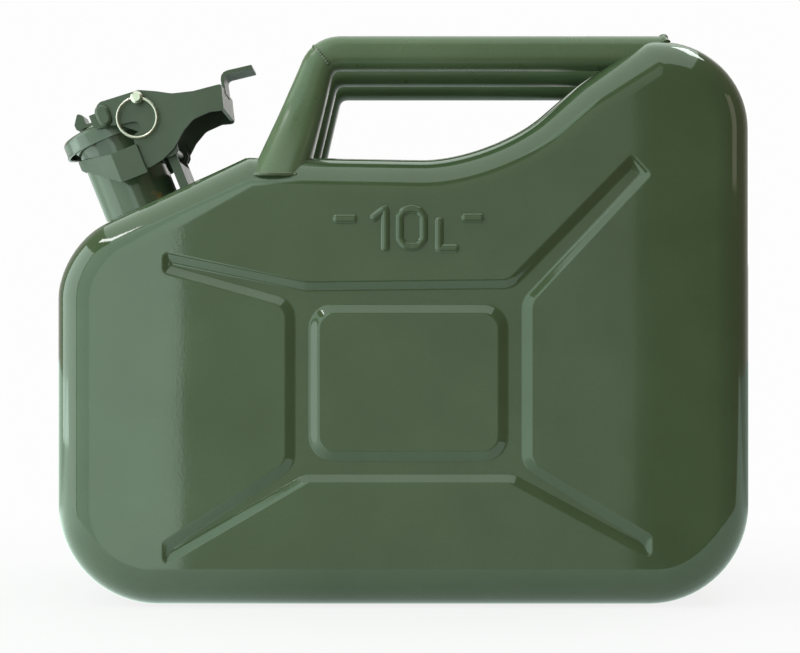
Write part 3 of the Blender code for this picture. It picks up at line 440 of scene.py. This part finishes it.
# the same enamel on the bars, rougher and with more peel, its tone lighter than the body's as painted light
# for what the bars' rounded tops and posts catch
BAR_ENAMEL = enamel("stoved_enamel_on_bars", BAR_TONES_WITH_PAINTED_LIGHT, rough=0.27, peel=0.06, dull=0.05, coat=0.06)
# enamel on the neck, browned low down where the weld was laid
NECK_ENAMEL = enamel("stoved_enamel_on_neck_tube", NECK_TONES, rough=0.14, peel=0.07, scorched=True)
# enamel on the pressed lid
CAP_ENAMEL = enamel("stoved_enamel_on_pressed_lid", LID_TONES, rough=0.2, peel=0.08)
# semi-gloss enamel on the punched and folded lever parts
LEVER_ENAMEL = enamel(
    "semi_gloss_enamel_on_folded_steel", LEVER_TONES, rough=0.40, peel=0.12, dull=0.08, coat=0.05
)
# enamel that ran over a hand-laid weld: uneven and glossy, browned like the neck
WELD_ENAMEL = enamel("stoved_enamel_over_weld_bead", WELD_TONES, rough=0.16, peel=0.25, scorched=True)
NICKEL = bright_metal("nickel_plated_spring_wire", ("#c9c5ba", "#bfbbb0"), 0.26)
PIN_STEEL = bright_metal("turned_steel_rear_pin", ("#8d8f8a", "#7b7d78"), 0.3)
RUBBER = rubber("moulded_nitrile_rubber")


# The pressed halves
# radius of the rim between flat side and edge, height of the front corner, and place (x from the middle, z)
# of the shoulder's crest
EDGE_RADIUS = 0.0195
FRONT_CORNER_Z = BODY_TOP - 0.1020
SHOULDER_TOP = (-0.0780, BODY_TOP - 0.0579)
# the raised centre panel: left, right, low, high
PANEL = (-0.0450, 0.0500, 0.07395, 0.14845)
# the sunk cross's inner corners: those at the panel's left and right, and those over and under it
FIELD_LEFT, FIELD_RIGHT = PANEL[0] - 0.0118, PANEL[1] + 0.0118
FIELD_LOW, FIELD_HIGH = PANEL[2] - 0.0030, PANEL[3] + 0.0010
RING_LEFT, RING_RIGHT = PANEL[0] - 0.0030, PANEL[1] + 0.0030
RING_LOW, RING_HIGH = PANEL[2] - 0.0110, PANEL[3] + 0.0110
# how deep the cross is pressed, and how wide its drawn walls are
PRESS_DEPTH = 0.0026
PRESS_WALL = 0.0046
# how far the drawn walls spread past the lines that the cross and the panel are set out on
PRESS_SPREAD = 0.0012
# how far a press tool's back stands off the face that it works on
TOOL_BACK = 0.002


def body_outline():
    """Corners (x, z, radius) of the body's side outline, anticlockwise, in the frame."""
    corners = [
        (-HALF_LENGTH, 0, 0.050),
        (HALF_LENGTH, 0, 0.050),
        (HALF_LENGTH, BODY_TOP, 0.0445),
        (HALF_LENGTH - 0.0510, BODY_TOP, 0.010),
        (HALF_LENGTH - 0.0851, BODY_TOP - 0.0220, 0.060),
        (HALF_LENGTH - 0.1298, SHOULDER_TOP[1] - 0.0020, 0.090),
        (*SHOULDER_TOP, 0.006),
        (-HALF_LENGTH, FRONT_CORNER_Z, 0.042),
    ]
    return [(x + MIDDLE_X, z, radius) for x, z, radius in corners]


def cross_outline():
    """Corners (x, z, radius) of the sunk cross, whose four arms run out from the field round the panel."""
    # radii at the arms' tips and in the corners between them, and the lines that the tips end on
    tip, crook = 0.0025, 0.007
    front = -HALF_LENGTH + 0.0545
    rear = HALF_LENGTH - 0.0507
    high = FRONT_CORNER_Z - 0.0053
    rear_high = BODY_TOP - 0.0592
    more = PRESS_SPREAD
    corners = [
        (front, high + more, tip),
        (front, high - 0.0080 - more, tip),
        (FIELD_LEFT - more, FIELD_HIGH - more, crook),
        (FIELD_LEFT - more, FIELD_LOW + more, crook),
        (front, 0.0316 + more, tip),
        (front, 0.0224 - more, tip),
        (RING_LEFT, RING_LOW - more, crook),
        (RING_RIGHT, RING_LOW - more, crook),
        (rear, 0.0259 - more, tip),
        (rear, 0.0347 + more, tip),
        (FIELD_RIGHT + more, FIELD_LOW + more, crook),
        (FIELD_RIGHT + more, FIELD_HIGH + 0.0020 - more, crook),
        (rear, rear_high - 0.0090, tip),
        (rear - 0.0095, rear_high + more, tip),
        (RING_RIGHT - more, RING_HIGH + 2 * more, crook),
        (RING_LEFT, RING_HIGH + more, crook),
    ]
    return [(x + MIDDLE_X, z, radius) for x, z, radius in corners]


def panel_outline():
    """Corners (x, z, radius) of the raised panel."""
    radius = 0.012
    left, right, low, high = (edge + way * PRESS_SPREAD for edge, way in zip(PANEL, (-1, 1, -1, 1)))
    return [(x + MIDDLE_X, z, radius) for x, z in ((left, low), (right, low), (right, high), (left, high))]


def taper(y, depth, wall, steps=3):
    """Sinks or raises the face at y by depth, drawing its rim in by wall on the way."""
    for _ in range(steps):
        flat_face(y, 1 if depth > 0 else -1)
        inset_by(wall / steps, abs(depth) / steps, 0.0005)
        y += depth / steps


def press_tool(name, outline, level, depth, arc_steps):
    """A block with that outline from behind the level to depth past it, its walls drawn in over the depth."""
    back = math.copysign(TOOL_BACK, depth)
    traced(outline, level - back, arc_steps)
    extrude_all(back)
    taper(level, depth, PRESS_WALL)
    outwards_normals()
    object_mode()
    return named(name)


def press_edges():
    """Selects the rims and feet of the cross and the panel, to soften them as a press does."""
    levels = (-FACE_Y, -FACE_Y + PRESS_DEPTH)
    # a box inside the halves' own rim, and the least angle of an edge that is worth softening
    front, rear = (MIDDLE_X + way * (HALF_LENGTH - 0.045) for way in (-1, 1))
    low, high = 0.0215, BODY_TOP - 0.05
    sharp = math.radians(12)

    def test(edge):
        a, b = (vert.co for vert in edge.verts)
        flat = any(max(abs(a.y - level), abs(b.y - level)) < SAME_LEVEL for level in levels)
        inside = all(front < co.x < rear and low < co.z < high for co in (a, b))
        return flat and inside and len(edge.link_faces) == 2 and edge.calc_face_angle(0) > sharp

    pick("edges", test)


def pressed_half(name):
    """The near half: outline extruded, rim rounded, the seam's channel drawn in, and the cross pressed."""
    # the seam's channel: where its slanted wall starts, how deep it is drawn in, and over what width
    channel_start, channel_depth, channel_wall = -0.009, 0.0050, 0.0040
    # its floor goes on to 0.15 mm off the middle, drawn in by a hair
    floor_inset, floor_width = 0.00002, 0.00485
    rim_start = -FACE_Y + EDGE_RADIUS
    piece = traced(body_outline(), channel_start, 18)
    extrude_all(rim_start - channel_start)
    cushion(rim_start, -1, EDGE_RADIUS, 10, 0.0004)
    flat_face(channel_start, 1)
    inset_by(channel_depth, channel_wall)
    flat_face(channel_start + channel_wall, 1)
    inset_by(floor_inset, floor_width)
    outwards_normals()
    object_mode()
    named(name)
    cross_floor = -FACE_Y + PRESS_DEPTH
    cut(piece, press_tool("cross_cutter", cross_outline(), -FACE_Y, PRESS_DEPTH, 5))
    cut(piece, press_tool("panel_block", panel_outline(), cross_floor, -PRESS_DEPTH, 8), "UNION")
    edit(piece)
    press_edges()
    bpy.ops.mesh.bevel(offset=0.0016, segments=4, affect="EDGES", clamp_overlap=True)
    object_mode()
    return piece


def cavity():
    """The space inside the near half: the outline drawn in, and extruded from the middle towards the face."""
    start, end = 0.002, -0.078
    # deeper than the seam's channel, so that the sheet stays closed under it
    inset = 0.0075
    piece = traced(body_outline(), start, 6)
    pick("faces", lambda face: True)
    inset_by(inset, 0, 0.0003)
    kept = max(bmesh.from_edit_mesh(piece.data).faces, key=lambda face: face.calc_area()).index
    pick("faces", lambda face: face.index != kept)
    bpy.ops.mesh.delete(type="FACE")
    extrude_all(end - start)
    object_mode()
    return named("cavity")


def neck_cutter():
    """The hole for the neck, a little wider than its tube."""
    clearance = 0.0001
    clear_selection()
    bpy.ops.mesh.primitive_cylinder_add(vertices=96, radius=NECK_RADIUS + clearance, depth=0.05)
    piece = bpy.context.object
    settle()
    onto_neck(piece)
    return named("neck_cutter")


def make_body():
    """The near half, hollow and with the neck's hole, and its mirror image."""
    near = pressed_half("near_half")
    cut(near, cavity())
    cut(near, neck_cutter())
    only(near)
    bpy.ops.object.duplicate()
    far = named("far_half")
    edit(far)
    bpy.ops.mesh.select_all(action="SELECT")
    bpy.ops.transform.mirror(constraint_axis=(False, True, False), center_override=(0, 0, 0))
    bpy.ops.mesh.flip_normals()
    object_mode()
    for piece, solid in ((near, "near_shell"), (far, "far_shell")):
        smooth(piece, 30)
        finish(piece, BODY_ENAMEL, "can_body", solid)
    return near, far


# The carrying bars
# where the shoulder's crest carries the foot of a post (x from the body's middle, z)
POST_FOOT = Vector((SHOULDER_TOP[0] + 0.0026, SHOULDER_TOP[1]))
BAR_TOP = BODY_TOP + 0.0031
BAR_LOW = BAR_TOP - 0.0169
BAR_MIDDLE_Z = (BAR_TOP + BAR_LOW) / 2
BAR_HALF_WIDTH = 0.011
# how far the outer bars' middles are from the body's middle
BAR_SPACING = 0.058
# how far a post's foot runs down past the shoulder's crest, and how far its outer side wraps over the rim
FOOT_DEPTH = 0.0104
FOOT_WRAP = 0.0136
BAR_END_X = MIDDLE_X + HALF_LENGTH - 0.0425


def bar_spine():
    """Stations (x, z, half thickness) of a bar's middle line, from below its foot to its rear end."""
    post_half, bend_half, bar_half = 0.0147, 0.0085, 0.00845
    bend_radius, bend_steps = 0.0135, 10
    # how far the spine starts below the foot, which is cut off level, and how far its stations are apart
    spare, spacing = 0.012, 0.004
    foot = POST_FOOT + Vector((MIDDLE_X, 0))
    base = foot + Vector((0.0136, -FOOT_DEPTH))
    bend = Vector((foot.x + 0.0346, BAR_MIDDLE_Z))
    inwards = (bend - base).normalized()
    onwards = Vector((1, 0))
    reach = bend_radius * math.tan(inwards.angle(onwards) / 2)
    first, last = bend - inwards * reach, bend + onwards * reach
    marks = [(base - inwards * spare, post_half)]
    for step in range(bend_steps + 1):
        share = step / bend_steps
        marks.append((first.lerp(bend, share).lerp(bend.lerp(last, share), share), bend_half))
    marks.append((Vector((BAR_END_X, BAR_MIDDLE_Z)), bar_half))
    stations = []
    for (first, half), (last, next_half) in zip(marks, marks[1:]):
        count = max(1, round((last - first).length / spacing))
        for step in range(count):
            share = step / count
            stations.append((first.lerp(last, share), half + (next_half - half) * share))
    stations.append(marks[-1])
    return stations


def poly_curve(places, closed=False):
    """A curve of straight stretches through the places."""
    clear_selection()
    bpy.ops.curve.primitive_nurbs_path_add()
    curve = bpy.context.object
    curve.data.splines.clear()
    spline = curve.data.splines.new("POLY")
    spline.points.add(len(places) - 1)
    for point, place in zip(spline.points, places):
        point.co = (*place, 1)
    spline.use_cyclic_u = closed
    curve.data.dimensions = "3D"
    return curve


def oval_section():
    """The bar's section before it is pressed: a circle swelled towards a square, as a flattened tube is."""
    count, squareness = 40, 2.7
    places = []
    for step in range(count):
        angle = 2 * math.pi * step / count
        across, up = math.cos(angle), math.sin(angle)
        swell = (abs(across) ** squareness + abs(up) ** squareness) ** (-1 / squareness)
        places.append(Vector((across, up, 0)) * swell * BAR_HALF_WIDTH)
    return places


def make_bar(name, side, solid):
    """A carrying bar: a tube run along its spine, pressed oval, its foot wrapped over the body's rim."""
    middle = side * BAR_SPACING
    stations = bar_spine()
    section = poly_curve(oval_section(), closed=True)
    curve = poly_curve([Vector((place.x, middle, place.y)) for place, _ in stations])
    for point, (_, half) in zip(curve.data.splines[0].points, stations):
        point.radius = half / BAR_HALF_WIDTH
    curve.data.bevel_mode = "OBJECT"
    curve.data.bevel_object = section
    only(curve)
    bpy.ops.object.convert(target="MESH")
    settle()
    piece = bpy.context.object
    bpy.data.objects.remove(section)
    ring_size = len(piece.data.vertices) // len(stations)
    edit(piece)
    # the wrap grows from the flare's start down to the foot, and a little past it where the foot is cut off
    floor_z, flare_z, most = POST_FOOT.y - FOOT_DEPTH, POST_FOOT.y + 0.0264, 1.15
    inner_side = (0, middle - side * BAR_HALF_WIDTH, 0)
    for index, (place, half) in enumerate(stations):
        ring = range(index * ring_size, (index + 1) * ring_size)
        pick("verts", lambda vert: vert.index in ring)
        bpy.ops.transform.resize(value=(1, BAR_HALF_WIDTH / half, 1), center_override=(0, middle, 0))
        share = min(most, (flare_z - place.y) / (flare_z - floor_z))
        if side and share > 0:
            wider = 1 + FOOT_WRAP * share**1.5 / (2 * BAR_HALF_WIDTH)
            bpy.ops.transform.resize(value=(1, wider, 1), center_override=inner_side)
    bpy.ops.mesh.select_all(action="SELECT")
    bpy.ops.mesh.bisect(plane_co=(0, 0, floor_z), plane_no=(0, 0, 1), clear_inner=True, use_fill=False)
    bpy.ops.mesh.select_all(action="SELECT")
    bpy.ops.mesh.fill_holes(sides=0)
    outwards_normals()
    object_mode()
    named(name)
    smooth(piece, 50, False)
    return finish(piece, BAR_ENAMEL, "can_body", solid)


# Weld beads and the capacity mark
def surface_y(piece, x, z, side):
    """Where a piece's outer skin lies at that x and z, seen from the near or the far side."""
    # the ray starts well outside the can
    outside = 0.3
    hit, place, _, _ = piece.ray_cast(Vector((x, side * outside, z)), Vector((0, -side, 0)))
    return place.y if hit else None


# stations of a weld bead, half the 1.7 mm between the ripples that the puddle froze in
BEAD_STEP = 0.00085


def bead(name, places, radius, ripple=0.16, closed=False, flatten=None):
    """A run of laid weld: a round rope through the places, thicker and thinner by turns and at random."""
    stations = []
    ends = zip(places, places[1:] + places[:1]) if closed else zip(places, places[1:])
    for first, second in ends:
        count = max(1, round((second - first).length / BEAD_STEP))
        stations += [first.lerp(second, step / count) for step in range(count)]
    if not closed:
        stations.append(places[-1])
    curve = poly_curve(stations, closed)
    # open ends are thinner, and noise with cells of about 3 mm makes the ripple uneven
    thin_end, uneven, cells = 0.45, 0.7, 300
    for index, (point, place) in enumerate(zip(curve.data.splines[0].points, stations)):
        swell = ripple if index % 2 else -ripple
        fade = 1 if closed or 0 < index < len(stations) - 1 else thin_end
        point.radius = fade * (1 + swell + uneven * ripple * noise.noise(place * cells))
    curve.data.bevel_depth = radius
    curve.data.bevel_resolution = 3
    curve.data.use_fill_caps = True
    bpy.ops.object.convert(target="MESH")
    settle()
    piece = bpy.context.object
    edit(piece)
    if flatten is not None:
        bpy.ops.mesh.select_all(action="SELECT")
        bpy.ops.transform.resize(value=(1, flatten, 1), center_override=(0, places[0].y, 0))
    outwards_normals()
    object_mode()
    return named(name)


def weld(piece, *nodes):
    """Smooths a piece made of beads and paints it as a weld of the body."""
    smooth(piece, 60, False)
    finish(piece, WELD_ENAMEL, "can_body", *nodes)


def draped(pieces, path, side, lift):
    """Lays a path of (x, z) points on the outermost skin of the pieces, that far out of it."""
    laid = []
    for x, z in path:
        found = [y for y in (surface_y(piece, x, z, side) for piece in pieces) if y is not None]
        if found:
            laid.append(Vector((x, side * (max(abs(y) for y in found) + lift), z)))
    return laid


def steps_between(start, end, count):
    return [start.lerp(end, step / count) for step in range(count + 1)]


# the weld across a bar's rear end: radius and ripple
END_BEAD = (0.0021, 0.14)


def make_welds(bars, halves):
    """The beads along the outer posts' feet, over their mitres, and across all three bars' rear ends."""
    # ends of the bead along a post's foot, from the shoulder's crest, and its height over the foot's edge
    foot_ends, over_edge = (0.0018, 0.0232), 0.0004
    # the mitre between post and bar (x, z), in the frame
    mitre = steps_between(Vector((-0.0405, 0.2790)), Vector((-0.0325, 0.2690)), 10)
    # the beads' middle lines lie a little inside the skin
    foot_lift, mitre_lift = -0.0003, -0.0002
    for side, bar, half, word in ((-1, bars[0], halves[0], "near"), (1, bars[2], halves[1], "far")):
        foot = POST_FOOT + Vector((MIDDLE_X, over_edge - FOOT_DEPTH))
        left, right = (foot + Vector((along, 0)) for along in foot_ends)
        along_foot = draped([bar, half], steps_between(left, right, 12), side, foot_lift)
        runs = [
            bead(word + "_foot_bead", along_foot, 0.0010),
            bead(word + "_mitre_bead", draped([bar], mitre, side, mitre_lift), 0.0009, 0.22),
            bead(word + "_end_bead", bar_end_run(side), *END_BEAD),
        ]
        weld(join(runs, word + "_bar_welds"))
    weld(bead("middle_bar_welds", bar_end_run(0), *END_BEAD))


def bar_end_run(side):
    """The weld across the top of a bar's rear end, on the outline of its section and a little inside it."""
    # half the angle that it takes round the section, its share of the section's size, and how square it is
    half_turn, steps = 72, 12
    across, up, squareness = 0.92, 0.88, 0.7
    # the line wanders by under a millimetre along the bar, as a hand-laid run does
    past_end, wander = 0.0004, 0.0008
    places = []
    for step in range(steps + 1):
        angle = math.radians(half_turn * (2 * step / steps - 1))
        x = BAR_END_X + past_end + wander * math.cos(5 * angle)
        y = side * BAR_SPACING + BAR_HALF_WIDTH * across * math.sin(angle)
        z = BAR_MIDDLE_Z + (BAR_TOP - BAR_MIDDLE_Z) * up * math.cos(angle) ** squareness
        places.append(Vector((x, y, z)))
    return places


# strokes of the capacity mark: places (x from the body's middle, z) in metres, half the stroke's width, and
# whether the stroke closes
MARK_STROKES = (
    ([(-0.0345, 0.1915), (-0.0228, 0.1915)], 0.0024, False),
    ([(-0.0158, 0.1912), (-0.0090, 0.1965), (-0.0090, 0.1755)], 0.0023, False),
    (
        [(0.0039, 0.1965), (0.0003, 0.1955), (-0.0020, 0.1925), (-0.0020, 0.1815), (0.0003, 0.1785),
         (0.0039, 0.1775), (0.0075, 0.1785), (0.0098, 0.1815), (0.0098, 0.1925), (0.0075, 0.1955)],
        0.0022,
        True,
    ),
    ([(0.0175, 0.1922), (0.0175, 0.1770), (0.0272, 0.1770)], 0.0022, False),
    ([(0.0285, 0.1920), (0.0395, 0.1920)], 0.0024, False),
)
MARK_MIDDLE = 0.0025
# the strokes' height over the sheet as a share of half their width
MARK_FLATNESS = 0.45


def capacity_mark(name, side):
    """The plain volume pressed out of the sheet under the bars: soft raised strokes, about 1 mm high."""
    middle = MIDDLE_X + MARK_MIDDLE
    strokes = []
    for index, (path, half_width, closed) in enumerate(MARK_STROKES):
        places = [Vector((middle - side * (x - MARK_MIDDLE), side * FACE_Y, z)) for x, z in path]
        strokes.append(bead(f"{name}_{index}", places, half_width, 0.0, closed, MARK_FLATNESS))
    piece = join(strokes, name)
    smooth(piece, 60, False)
    finish(piece, BODY_ENAMEL, "can_body")


# Refined solids
def refined(name, solid, body, bevel=0.00035):
    """A copy of a solid with its flat faces made whole and its sharp edges broken, as after tumbling."""
    sharp = math.radians(28)
    clear_selection()
    piece = bpy.data.objects.new(name, NODES[solid].data.copy())
    bpy.context.scene.collection.objects.link(piece)
    edit(piece)
    bpy.ops.mesh.select_all(action="SELECT")
    bpy.ops.mesh.remove_doubles(threshold=2e-6)
    bpy.ops.mesh.dissolve_limited(angle_limit=math.radians(1.0))
    pick("edges", lambda edge: len(edge.link_faces) == 2 and edge.calc_face_angle(0) > sharp)
    bpy.ops.mesh.bevel(offset=bevel, segments=2, affect="EDGES", clamp_overlap=True)
    outwards_normals()
    object_mode()
    named(name)
    smooth(piece, 40)
    finish(piece, LEVER_ENAMEL, body, solid)


# The closure
# its profiles are places (radius, height) on the neck's axis
# heights of the neck's lip and of the lid's shoulder, and the thickness of both sheets
LIP_TOP = 0.050
LID_TOP = LIP_TOP + 0.0035
SHEET = 0.0012


def turned(name, profile, material, body, solid):
    """A round piece of the closure, spun and taken to the neck."""
    piece = spun(name, profile)
    close_round(piece)
    onto_neck(piece)
    smooth(piece, 40)
    finish(piece, material, body, solid)


def make_neck():
    """The filler neck with its rolled lip, and the weld round its foot."""
    foot = -0.003
    inside = NECK_RADIUS - SHEET
    # the rolled lip's middle and half axes
    roll, roll_reach = (0.0208, LIP_TOP - 0.0025), (0.0021, 0.0024)
    profile = [(inside, foot), (NECK_RADIUS, foot), (NECK_RADIUS, LIP_TOP - 0.0085)]
    profile += arc(roll, roll_reach, -80, 180, 8)
    profile += [(inside, LIP_TOP - 0.006), (inside, foot)]
    turned("neck_pipe", profile, NECK_ENAMEL, "can_body", "neck_tube")

    # the weld lies in the corner between tube and shoulder: its ring's radius, height and number of places
    radius, height, count = 0.0219, 0.0022, 48
    turns = [2 * math.pi * step / count for step in range(count)]
    ring = [neck_point(radius * math.cos(turn), radius * math.sin(turn), height) for turn in turns]
    weld(bead("neck_foot_weld", ring, 0.0030, 0.07, closed=True), "neck_weld")


def make_lid():
    """The pressed lid: a flat dome in the middle, a rounded shoulder, and a skirt with a flared edge."""
    # radii of the rivet's hole, the dome's flat top, the dome and the skirt, and height of the dome's top
    hole, flat, dome, skirt = 0.0026, 0.0133, 0.0145, 0.0270
    top = LID_TOP + 0.0030
    # radii of the bends at the dome's edge and at the skirt's top
    dome_bend, skirt_bend = 0.0016, 0.0024
    profile = [(hole, top)] + arc((flat, top - dome_bend), (dome_bend, dome_bend), 90, 0, 4)
    profile += [(dome + 0.0030, LID_TOP + 0.0003), (dome + 0.0045, LID_TOP)]
    profile += arc((skirt - skirt_bend, LID_TOP - skirt_bend), (skirt_bend, skirt_bend), 90, 0, 6)
    # the skirt's flared edge, then the inside back up to the hole
    profile += [
        (skirt, LID_TOP - 0.0072),
        (skirt + 0.0004, LID_TOP - 0.0083),
        (skirt + 0.0003, LID_TOP - 0.0090),
        (skirt - 0.0008, LID_TOP - 0.0090),
        (skirt - SHEET, LID_TOP - 0.0080),
        (skirt - SHEET, LID_TOP - SHEET),
        (dome + 0.0035, LID_TOP - SHEET),
        (dome - 0.001, top - SHEET),
        (hole, top - SHEET),
        (hole, top),
    ]
    turned("pressed_lid", profile, CAP_ENAMEL, "cap_body", "cap")


def make_closure():
    make_neck()
    make_lid()
    refined("lid_bridge", "cap_bridge", "cap_body")
    refined("cam_lever", "lever", "lever_body")
    refined("yoke_strap", "neck_yoke", "can_body")
    refined("rear_bracket", "hinge_bracket", "can_body")
    refined("near_oval_rivet", "near_pivot_rivet", "cap_body", 0.0002)
    refined("far_oval_rivet", "far_pivot_rivet", "cap_body", 0.0002)


def paint_solids():
    """Paints the solids that are shown as they are."""
    for name, material in {
        "seam_weld": WELD_ENAMEL,
        "breather_tube": NECK_ENAMEL,
        "gasket": RUBBER,
        "hinge_pin": PIN_STEEL,
        "cap_rivet": LEVER_ENAMEL,
        "safety_pin": NICKEL,
        "pin_ring": NICKEL,
    }.items():
        paint(NODES[name], material)


HALVES = make_body()
BARS = [
    make_bar("near_bar", -1, "near_handle"),
    make_bar("middle_bar", 0, "middle_handle"),
    make_bar("far_bar", 1, "far_handle"),
]
make_welds(BARS, HALVES)
capacity_mark("near_capacity_mark", -1)
capacity_mark("far_capacity_mark", 1)
make_closure()
paint_solids()


# Floor, light and camera
# the white that the camera sees round the can, just under clipping
WHITE = 0.985


def either(tree, path, first, second):
    """1 for rays of one kind or the other, else 0."""
    return maths(tree, "MAXIMUM", path.outputs[first], path.outputs[second])


def matt_floor():
    """Paper sweep: white to the camera away from the can, and lit paper with its shadow close to it."""
    material, tree = new_material("matt_paper_sweep")
    coords = node(tree, "ShaderNodeTexCoord").outputs["Object"]
    # fibres of about 3 mm
    fibre = pattern(tree, coords, 300.0, 2.0)
    base = mix_colour(tree, fibre, tone("#d8d8d8"), tone("#dedede"))
    paper = node(tree, "ShaderNodeBsdfPrincipled", {"Base Color": base, "Roughness": 0.9})
    path = node(tree, "ShaderNodeLightPath")
    to_camera = path.outputs["Is Camera Ray"]
    # the sweep that the enamel mirrors fades behind the can, and on the left glows up to 2.7 times as bright
    # for mirrored rays only: a painted reflection that lays a pale band into the can's lower-left rim
    parts = node(tree, "ShaderNodeSeparateXYZ", {0: coords})
    faded = spread(tree, parts.outputs["Y"], 0.06, 0.30, WHITE, 0.45)
    # painted reflection: the glow's strength for mirrored rays, from 1 at x -0.04 m to 2.7 at x -0.30 m
    lit = spread(tree, parts.outputs["X"], -0.04, -0.30, 1.0, 2.7)
    mirrored = maths(tree, "MULTIPLY", faded, lit)
    strength = node(tree, "ShaderNodeMix", {0: to_camera, 2: mirrored, 3: WHITE}).outputs[0]
    # for mirrored rays the glow is tinted pale green, as painted reflection too
    tint = mix_colour(tree, to_camera, tone("#e6fff2"), (1, 1, 1, 1))
    white = node(tree, "ShaderNodeEmission", {"Color": tint, "Strength": strength})
    # share of the white sweep: most of it under the can, all of it from 0.42 m on
    away = node(tree, "ShaderNodeVectorMath", {0: coords}, operation="LENGTH").outputs["Value"]
    share = spread(tree, away, 0.12, 0.42, 0.84, 1.0)
    seen = maths(tree, "MULTIPLY", either(tree, path, "Is Camera Ray", "Is Glossy Ray"), share)
    both = node(
        tree, "ShaderNodeMixShader", {0: seen, 1: paper.outputs["BSDF"], 2: white.outputs["Emission"]}
    )
    node(tree, "ShaderNodeOutputMaterial", {"Surface": both.outputs[0]})
    return material


def softbox(name, place, target, size, radiance, colour):
    """An area light whose face has that radiance, out of the camera's sight but mirrored by the enamel."""
    data = bpy.data.lights.new(name, "AREA")
    data.shape = "RECTANGLE"
    data.size, data.size_y = size
    data.energy = radiance * math.pi * size[0] * size[1]
    data.color = tone(colour)[:3]
    lamp = bpy.data.objects.new(name, data)
    bpy.context.scene.collection.objects.link(lamp)
    lamp.location = place
    lamp.rotation_euler = (Vector(target) - Vector(place)).to_track_quat("-Z", "Y").to_euler()
    lamp.visible_camera = False


def make_world():
    """White to the camera, and for mirrored rays white behind the can and a dim warm room before it."""
    world = bpy.data.worlds.new("studio")
    bpy.context.scene.world = world
    world.use_nodes = True
    tree = world.node_tree
    tree.nodes.clear()
    path = node(tree, "ShaderNodeLightPath")
    towards = node(tree, "ShaderNodeTexCoord").outputs["Generated"]
    depth = node(tree, "ShaderNodeSeparateXYZ", {0: towards}).outputs["Y"]
    behind = spread(tree, depth, 0.30, 0.85, 0.0, 0.5)
    backdrop = maths(tree, "MULTIPLY", either(tree, path, "Is Glossy Ray", "Is Transmission Ray"), behind)
    shown = maths(tree, "MAXIMUM", path.outputs["Is Camera Ray"], backdrop)
    room = node(tree, "ShaderNodeBackground", {"Color": tone("#bda995"), "Strength": 0.40})
    white = node(tree, "ShaderNodeBackground", {"Color": (1, 1, 1, 1), "Strength": WHITE})
    both = node(tree, "ShaderNodeMixShader", {0: shown, 1: room.outputs[0], 2: white.outputs[0]})
    node(tree, "ShaderNodeOutputWorld", {"Surface": both.outputs[0]})


# the camera looks level along Y from here, a little left of the body's middle, with the photo's angle of view
CAMERA_PLACE = (MIDDLE_X - 0.0017, -0.951, 0.1387)
CAMERA_LENS = 79.74
# name, place, target, size, radiance and colour of each light
SOFTBOXES = (
    ("left_card", (-0.811, -0.951, 0.35), (-0.811, 0, 0.35), (1.2, 1.5), 1.62, "#dcfff0"),
    ("front_fill", (-0.14, -1.6, 0.35), (-0.14, 0, 0.35), (0.92, 1.7), 0.54, "#eafff0"),
    ("left_softbox", (-1.35, -0.2, 0.35), (0, -0.2, 0.35), (1.3, 1.5), 2.6, "#e8fff8"),
    ("high_strip", (-0.80, -0.5, 1.05), (-0.05, 0, 0.2), (0.5, 0.10), 12.0, "#ffffff"),
    ("overhead_softbox", (-0.1, -0.1, 1.5), (-0.1, -0.1, 0.0), (2.0, 2.6), 1.45, "#e9fff4"),
    ("crown_strip", (0.56, 0.22, 1.15), (0.144, -0.08, 0.28), (0.40, 0.22), 7.0, "#f4fff8"),
    ("back_fill", (0.2, 1.9, 0.9), (0, 0, 0.15), (2.2, 1.4), 0.9, "#ffffff"),
    ("right_softbox", (1.4, -0.5, 0.6), (0.1, 0, 0.15), (0.4, 0.6), 0.8, "#fff0dc"),
)


def make_floor():
    """A plane whose front edge the enamel mirrors as the start of the bottom rim's pale band."""
    width, depth, front_edge = 8, 6, -0.215
    clear_selection()
    bpy.ops.mesh.primitive_plane_add(size=1, location=(0, front_edge + depth / 2, 0))
    floor = named("paper_floor")
    floor.scale = (width, depth, 1)
    settle()
    floor.data.materials.append(matt_floor())


def make_camera():
    data = bpy.data.cameras.new("photo_camera")
    data.sensor_width = 36.0
    data.lens = CAMERA_LENS
    data.clip_start = 0.01
    camera = bpy.data.objects.new("photo_camera", data)
    bpy.context.scene.collection.objects.link(camera)
    camera.location = CAMERA_PLACE
    camera.rotation_euler = (math.radians(90), 0, 0)
    bpy.context.scene.camera = camera
    bpy.context.scene.view_settings.view_transform = "Standard"


make_floor()
make_world()
for settings in SOFTBOXES:
    softbox(*settings)
make_camera()
